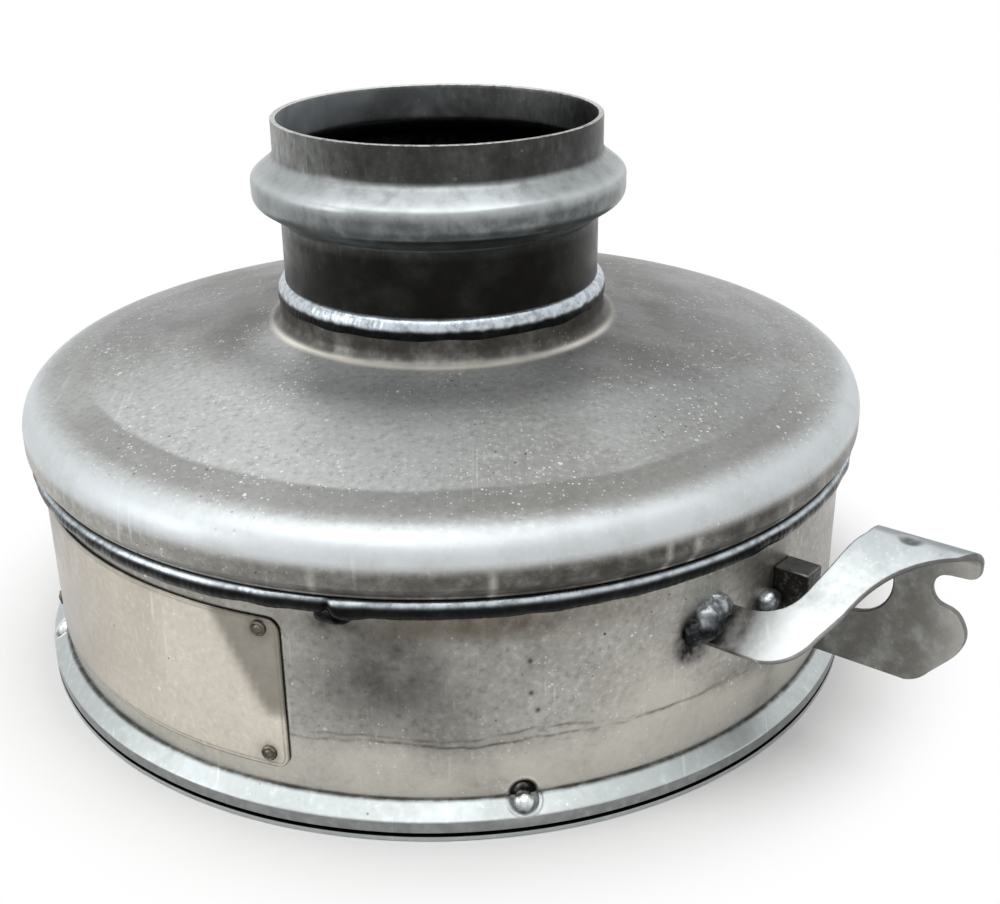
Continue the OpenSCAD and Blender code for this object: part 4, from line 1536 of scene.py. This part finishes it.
@dataclass
class Studio:
    """The plain floor, the soft lights and the camera."""

    camera_at: tuple[float, float, float] = (0.0, -0.5375, 0.3076)
    yaw: float = 2.40
    pitch: float = 24.15
    roll: float = -0.59
    lens: float = 50.05
    floor_radius: float = 3.0
    fade: tuple[float, float] = (0.166, 0.225)

    def camera(self) -> None:
        """Sets the camera where the photograph was taken from."""
        data = bpy.data.cameras.new("photo_camera")
        data.lens = self.lens
        data.sensor_width = 36.0
        data.clip_start = 0.01
        yaw, pitch, roll = (math.radians(a) for a in (self.yaw, self.pitch, self.roll))
        ahead = Vector((math.sin(yaw) * math.cos(pitch), math.cos(yaw) * math.cos(pitch), -math.sin(pitch)))
        right = Vector((math.cos(yaw), -math.sin(yaw), 0.0))
        upward = right.cross(ahead)
        x_axis = math.cos(roll) * right + math.sin(roll) * upward
        y_axis = math.cos(roll) * upward - math.sin(roll) * right
        made = linked("photo_camera", data)
        made.matrix_world = Matrix((x_axis, y_axis, -ahead)).transposed().to_4x4()
        made.location = self.camera_at
        bpy.context.scene.camera = made

    def floor(self) -> None:
        """Lays a pale round floor, shaded near the part, white farther out and clear from below."""
        angles = np.linspace(0.0, math.tau, 96, endpoint=False)
        reach = np.array([0.0, 0.1, 0.25, 0.5, 1.0, 2.0, self.floor_radius]) / MM
        outline = np.stack([reach, np.full(len(reach), -0.2)], axis=-1)
        skin = GridSkin(lathe(outline, angles)[:, ::-1], loop_v=False)
        floor = skin_object("floor", [skin], weld=True)
        board = NodeBoard("floor_paper")
        grain = board.noise(40.0, detail=3.0)
        paper = board.blend(grain, (0.86, 0.86, 0.86, 1.0), (0.90, 0.90, 0.90, 1.0))
        board.fill(board.shader, Base_Color=paper, Roughness=0.9)
        far = board.add("VectorMath", board.place.outputs["Object"])
        far.operation = "LENGTH"
        glow = board.add("Emission")
        light = board.add("LightPath")
        seen = board.calc(Calc.MOST, light.outputs["Is Camera Ray"], light.outputs["Is Glossy Ray"])
        seen = board.calc(Calc.MOST, seen, light.outputs["Is Transmission Ray"])
        mix = board.add("MixShader")
        share = board.calc(Calc.TIMES, board.span(far.outputs["Value"], *self.fade), seen)
        board.fill(mix, share, board.shader.outputs[0], glow.outputs[0])
        clear = board.add("BsdfTransparent")
        back = board.add("NewGeometry").outputs["Backfacing"]
        through = board.add("MixShader", back, mix.outputs[0], clear.outputs[0])
        board.fill(board.output, Surface=through.outputs[0])
        floor.data.materials.append(board.material)

    def world(self) -> None:
        """Makes the surroundings white to the eye and in reflections, and softer as light."""
        world = bpy.data.worlds.new("studio_white")
        world.use_nodes = True
        bpy.context.scene.world = world
        tree = world.node_tree
        sky = tree.nodes["Background"]
        path = tree.nodes.new("ShaderNodeLightPath")
        seen: Socket = path.outputs["Is Camera Ray"]
        for name in ("Is Glossy Ray", "Is Transmission Ray"):
            most = tree.nodes.new("ShaderNodeMath")
            most.operation = "MAXIMUM"
            tree.links.new(seen, most.inputs[0])
            tree.links.new(path.outputs[name], most.inputs[1])
            seen = most.outputs[0]
        level = tree.nodes.new("ShaderNodeMapRange")
        level.inputs["To Min"].default_value = 0.65
        level.inputs["To Max"].default_value = 1.0
        tree.links.new(seen, level.inputs["Value"])
        sky.inputs["Color"].default_value = (1.0, 1.0, 1.0, 1.0)
        tree.links.new(level.outputs[0], sky.inputs["Strength"])

    def lamp(self, name: str, place: Sequence[float], size: tuple[float, float], power: float) -> None:
        """Hangs a soft panel light that points at the part.

        Args:
            name: the lamp's name.
            place: where it hangs, metres.
            size: width and height of the panel.
            power: watts.
        """
        data = bpy.data.lights.new(name, "AREA")
        data.shape = "RECTANGLE"
        data.size, data.size_y = size
        data.energy = power
        made = linked(name, data)
        made.location = place
        made.rotation_euler = (Vector(LAMP_AIM) - Vector(place)).to_track_quat("-Z", "Y").to_euler()

    def build(self) -> None:
        """Sets up the camera, floor, surroundings and lamps."""
        bpy.context.scene.view_settings.view_transform = "Standard"
        self.camera()
        self.floor()
        self.world()
        self.lamp("overhead_panel", (-0.15, -0.2, 1.5), (2.0, 1.7), 15.0)
        self.lamp("left_panel", (-1.6, -0.5, 0.7), (0.9, 1.0), 5.0)
        LOG.info("studio: camera, floor, surroundings and lamps")


FINE = (1.0, 1.0, 1.0)
CAN_FINISH = WornSteel(
    Slot.CAN, tone(170, 168, 162), tone(176, 173, 166), cloud=tone(104, 101, 96), cloud_depth=0.55,
    cloud_scale=11.0, grain=FINE, grain_scale=420.0, grain_depth=0.45, scratch=0.4, speck=0.09,
    rough=(0.24, 0.42), marks=(
        Mark("shade", tone(52, 51, 49), 0.92, 0.35, 40.0),
        # Lighter lower wall: clean steel and painted reflection of the floor, with a painted light patch
        Mark("clean", tone(200, 196, 186), 0.68, 0.5, 50.0),
        Mark("line", tone(62, 57, 49), 0.85, 0.9, 160.0),
        Mark("second", tone(74, 68, 58), 0.7, 0.98, 110.0),
        Mark("tint", tone(72, 61, 46), 0.92, 0.5, 60.0),
        # Painted shade in the pressed pockets
        Mark("pocket", tone(24, 22, 20), 0.9, 0.3),
        Mark("pit", tone(22, 19, 16), 0.95, 0.1),
        Mark("burn", tone(9, 9, 9), 0.98, 0.5, 160.0),
        Mark("inside", tone(60, 56, 52), 0.9)))
FLANGE_FINISH = WornSteel(
    Slot.FLANGE, tone(176, 180, 179), tone(184, 191, 191), cloud=tone(164, 168, 167), cloud_depth=0.4,
    cloud_scale=24.0, grain=FINE, grain_scale=300.0, grain_depth=0.35, scratch=0.4, speck=0.03,
    rough=(0.28, 0.45), marks=(
        # Painted shade on the upright rim face and in the groove
        Mark("rim", tone(112, 115, 114), 0.75, 0.35),
        Mark("groove", tone(6, 6, 6), 0.98, 0.05),
        # Painted highlight round the pockets
        Mark("pocket", tone(224, 228, 228), 0.5),
        Mark("foot", tone(52, 50, 46), 0.85, 0.5, 200.0)))
DOME_FINISH = WornSteel(
    Slot.DOME, tone(170, 168, 162), tone(178, 181, 180), (0.2, 0.6), cloud=tone(128, 126, 121),
    cloud_depth=0.6, cloud_scale=9.0, grain=FINE, grain_scale=420.0, grain_depth=0.5, scratch=0.4,
    speck=0.24, rough=(0.36, 0.5), metallic=0.7, marks=(
        # Painted shade and painted reflection round the collar
        Mark("soot", tone(66, 65, 62), 1.0, 0.3, 24.0, True),
        # Painted reflection band on the slope
        Mark("ring", tone(112, 110, 106), 0.62, 0.3, 30.0, True),
        # Painted highlight on the shoulder
        Mark("shoulder", tone(204, 210, 213), 0.88, 0.3, 60.0),
        # Brownish skirt tone, deepened toward the front as painted shade
        Mark("skirt", tone(54, 51, 44), 0.95, 0.35, 120.0),
        Mark("streak", tone(190, 187, 178), 0.6, 0.6, 200.0),
        Mark("collar", tone(44, 41, 35), 0.92, 0.35, 90.0),
        # Painted highlight along the fillet's foot
        Mark("fillet", tone(250, 246, 236), 0.96, 0.25, 60.0),
        Mark("inside", tone(40, 38, 36), 0.95)))
NECK_FINISH = WornSteel(
    Slot.NECK, tone(140, 142, 140), tone(172, 176, 177), (0.3, 0.8), cloud=tone(62, 60, 57), cloud_depth=0.5,
    cloud_scale=30.0, grain=(1.0, 1.0, 0.55), grain_scale=380.0, grain_depth=0.45, scratch=0.4, speck=0.06,
    rough=(0.28, 0.46), marks=(
        # Painted reflection and shade toward the front
        Mark("front", tone(42, 43, 41), 0.94, 0.16, 60.0),
        Mark("bead", tone(164, 169, 170), 0.85, 0.4, 130.0),
        # Painted shade on the bead's face and a painted highlight on its ridge
        Mark("face", tone(66, 69, 69), 0.75, 0.5, 160.0),
        Mark("ridge", tone(198, 204, 206), 0.6, 0.5, 90.0),
        Mark("low", tone(24, 23, 20), 0.92, 0.14, 60.0),
        # Painted highlight on the left inner wall and painted shade deep inside
        Mark("throat", tone(222, 230, 236), 0.92, 0.35, 40.0),
        Mark("inside", tone(8, 8, 8), 0.97, 0.1),
        Mark("rim", tone(206, 203, 196), 0.75, 0.9, 500.0)))
WELD_FINISH = WornSteel(
    Slot.WELD, tone(50, 51, 51), tone(84, 87, 88), (0.1, 0.8), cloud=tone(26, 25, 24), cloud_depth=0.6,
    cloud_scale=120.0, grain=FINE, grain_scale=300.0, grain_depth=0.3, scratch=0.0, rough=(0.22, 0.36),
    relief=0.0001, marks=(
        # Painted highlight on the beads' upper parts and painted shade on their lower parts
        Mark("bright", tone(204, 214, 221), 0.94, 0.5, 300.0),
        Mark("under", tone(19, 20, 21), 0.95, 0.25, 200.0),
        Mark("burn", tone(8, 8, 8), 0.98, 0.3)))
TACK_FINISH = WornSteel(
    Slot.TACK, tone(186, 188, 188), tone(226, 230, 231), (-0.1, 0.6), cloud=tone(110, 108, 105),
    cloud_depth=0.4, cloud_scale=260.0, grain=FINE, scratch=0.0, rough=(0.18, 0.3))
RETAINER_FINISH = WornSteel(
    Slot.RETAINER, tone(140, 136, 130), tone(150, 147, 141), cloud=tone(86, 76, 64), cloud_depth=0.6,
    grain=FINE, scratch=0.2)
PLATE_FINISH = WornSteel(
    Slot.PLATE, tone(207, 200, 189), tone(207, 200, 189), cloud=tone(170, 162, 149), cloud_depth=0.45,
    cloud_scale=14.0, grain=FINE, grain_scale=420.0, grain_depth=0.3, scratch=0.3, speck=0.03,
    rough=(0.22, 0.4), marks=(
        # Painted reflection wedge, and darker toward the left end
        Mark("shade", tone(116, 112, 103), 0.8, 0.2, 30.0),
        Mark("scribe", tone(120, 113, 102), 0.7, 0.5),
        # Painted shadow along the edge
        Mark("edge", tone(30, 28, 25), 0.85, 0.3),
        Mark("rivet", tone(44, 39, 33), 0.85, 0.4),
        Mark("wear", tone(84, 78, 68), 0.6, 0.95, 120.0)))
RIVET_FINISH = WornSteel(
    Slot.RIVET, tone(92, 86, 76), tone(128, 122, 112), cloud=tone(28, 25, 22), cloud_depth=0.85,
    cloud_scale=420.0, grain=FINE, scratch=0.0, rough=(0.35, 0.55))
BRACKET_FINISH = WornSteel(
    Slot.BRACKET, tone(172, 174, 172), tone(188, 193, 193), (0.1, 0.6), cloud=tone(160, 162, 160),
    cloud_depth=0.4, cloud_scale=40.0, grain=FINE, grain_scale=420.0, grain_depth=0.45, scratch=0.4,
    speck=0.14, rough=(0.36, 0.5), marks=(
        # Painted light on the strap's top
        Mark("pale", tone(214, 218, 218), 0.85, 0.3, 60.0),
        Mark("fold", tone(132, 138, 141), 0.78, 0.3, 60.0),
        # Painted shade on the fin, lighter at its outer lobe
        Mark("fin", tone(90, 87, 80), 0.84, 0.4, 110.0),
        Mark("lobe", tone(182, 180, 174), 0.75, 0.4, 90.0),
        # Painted shade on the strap's underside
        Mark("under", tone(120, 116, 108), 0.6, 0.4, 70.0),
        Mark("tint", tone(76, 66, 53), 0.85, 0.45, 160.0),
        Mark("cut", tone(84, 83, 80), 0.7, 0.3),
        # Painted shade in the dent
        Mark("dent", tone(58, 59, 58), 0.85, 0.3)))
BURNT_FINISH = WornSteel(
    Slot.BURNT, tone(104, 107, 110), tone(192, 198, 202), (0.0, 0.8), cloud=tone(24, 23, 23),
    cloud_depth=0.85, cloud_scale=170.0, grain=FINE, grain_scale=800.0, grain_depth=0.3, scratch=0.0,
    # Painted shade on the welds' lower parts
    rough=(0.25, 0.45), relief=0.00015, marks=(Mark("low", tone(10, 10, 10), 0.96, 0.3, 240.0),))
BLOCK_FINISH = WornSteel(
    Slot.BLOCK, tone(46, 45, 43), tone(128, 129, 127), (0.2, 0.8), cloud=tone(34, 31, 28), cloud_depth=0.6,
    cloud_scale=120.0, grain=FINE, grain_scale=600.0, scratch=0.1, rough=(0.35, 0.55))
BRICK_FINISH = CellCeramic(Slot.BRICK, tone(150, 142, 126), tone(128, 120, 106), tone(20, 18, 16))
MAT_FINISH = PackedFibre(Slot.MAT, tone(150, 142, 128), tone(214, 208, 196), 420.0, 0.0)
MESH_FINISH = PackedFibre(Slot.MESH, tone(40, 38, 36), tone(150, 148, 144), 520.0, 0.9)


def main() -> None:
    """Builds the studio and each sub-assembly, and dresses every piece and node."""
    logging.basicConfig(level=logging.INFO, format="%(name)s: %(message)s")
    Studio().build()
    weld = WELD_FINISH.material()
    burnt = BURNT_FINISH.material()
    can = Can()
    dress(can.shell(), Slot.CAN, CAN_FINISH.material(), "body_shell")
    dress(can.flange(), Slot.FLANGE, FLANGE_FINISH.material(), "flange_ring")
    dress(can.nuggets(), Slot.TACK, TACK_FINISH.material(), "flange_tacks")
    dome = Dome()
    dress(dome.shell(), Slot.DOME, DOME_FINISH.material(), "end_dome")
    dress(dome.seam(), Slot.WELD, weld, "seam_weld")
    dress(dome.neck_ring(), Slot.WELD, weld, "neck_weld")
    dress(Neck().pipe(), Slot.NECK, NECK_FINISH.material(), "neck_pipe")
    plate = Plate()
    dress(plate.sheet(), Slot.PLATE, PLATE_FINISH.material(), "data_plate")
    dress(plate.rivets(), Slot.RIVET, RIVET_FINISH.material(), "plate_rivets")
    bracket = Bracket()
    dress(bracket.sheet(), Slot.BRACKET, BRACKET_FINISH.material(), "bracket")
    dress(bracket.block(), Slot.BLOCK, BLOCK_FINISH.material(), "stop_block")
    dress(bracket.end_weld(), Slot.BURNT, burnt, "bracket_end_weld")
    dress(bracket.block_weld(), Slot.BURNT, burnt, "block_weld")
    retainer = RETAINER_FINISH.material()
    mesh = MESH_FINISH.material()
    for name, finish in (
            ("filter_brick", BRICK_FINISH.material()), ("support_mat", MAT_FINISH.material()),
            ("lower_seal", mesh), ("upper_seal", mesh), ("lower_retainer", retainer),
            ("upper_retainer", retainer), ("flange_weld", weld),
            ("bracket_fin_weld", burnt)):
        dress_node(name, finish)


if __name__ == "__main__":
    main()
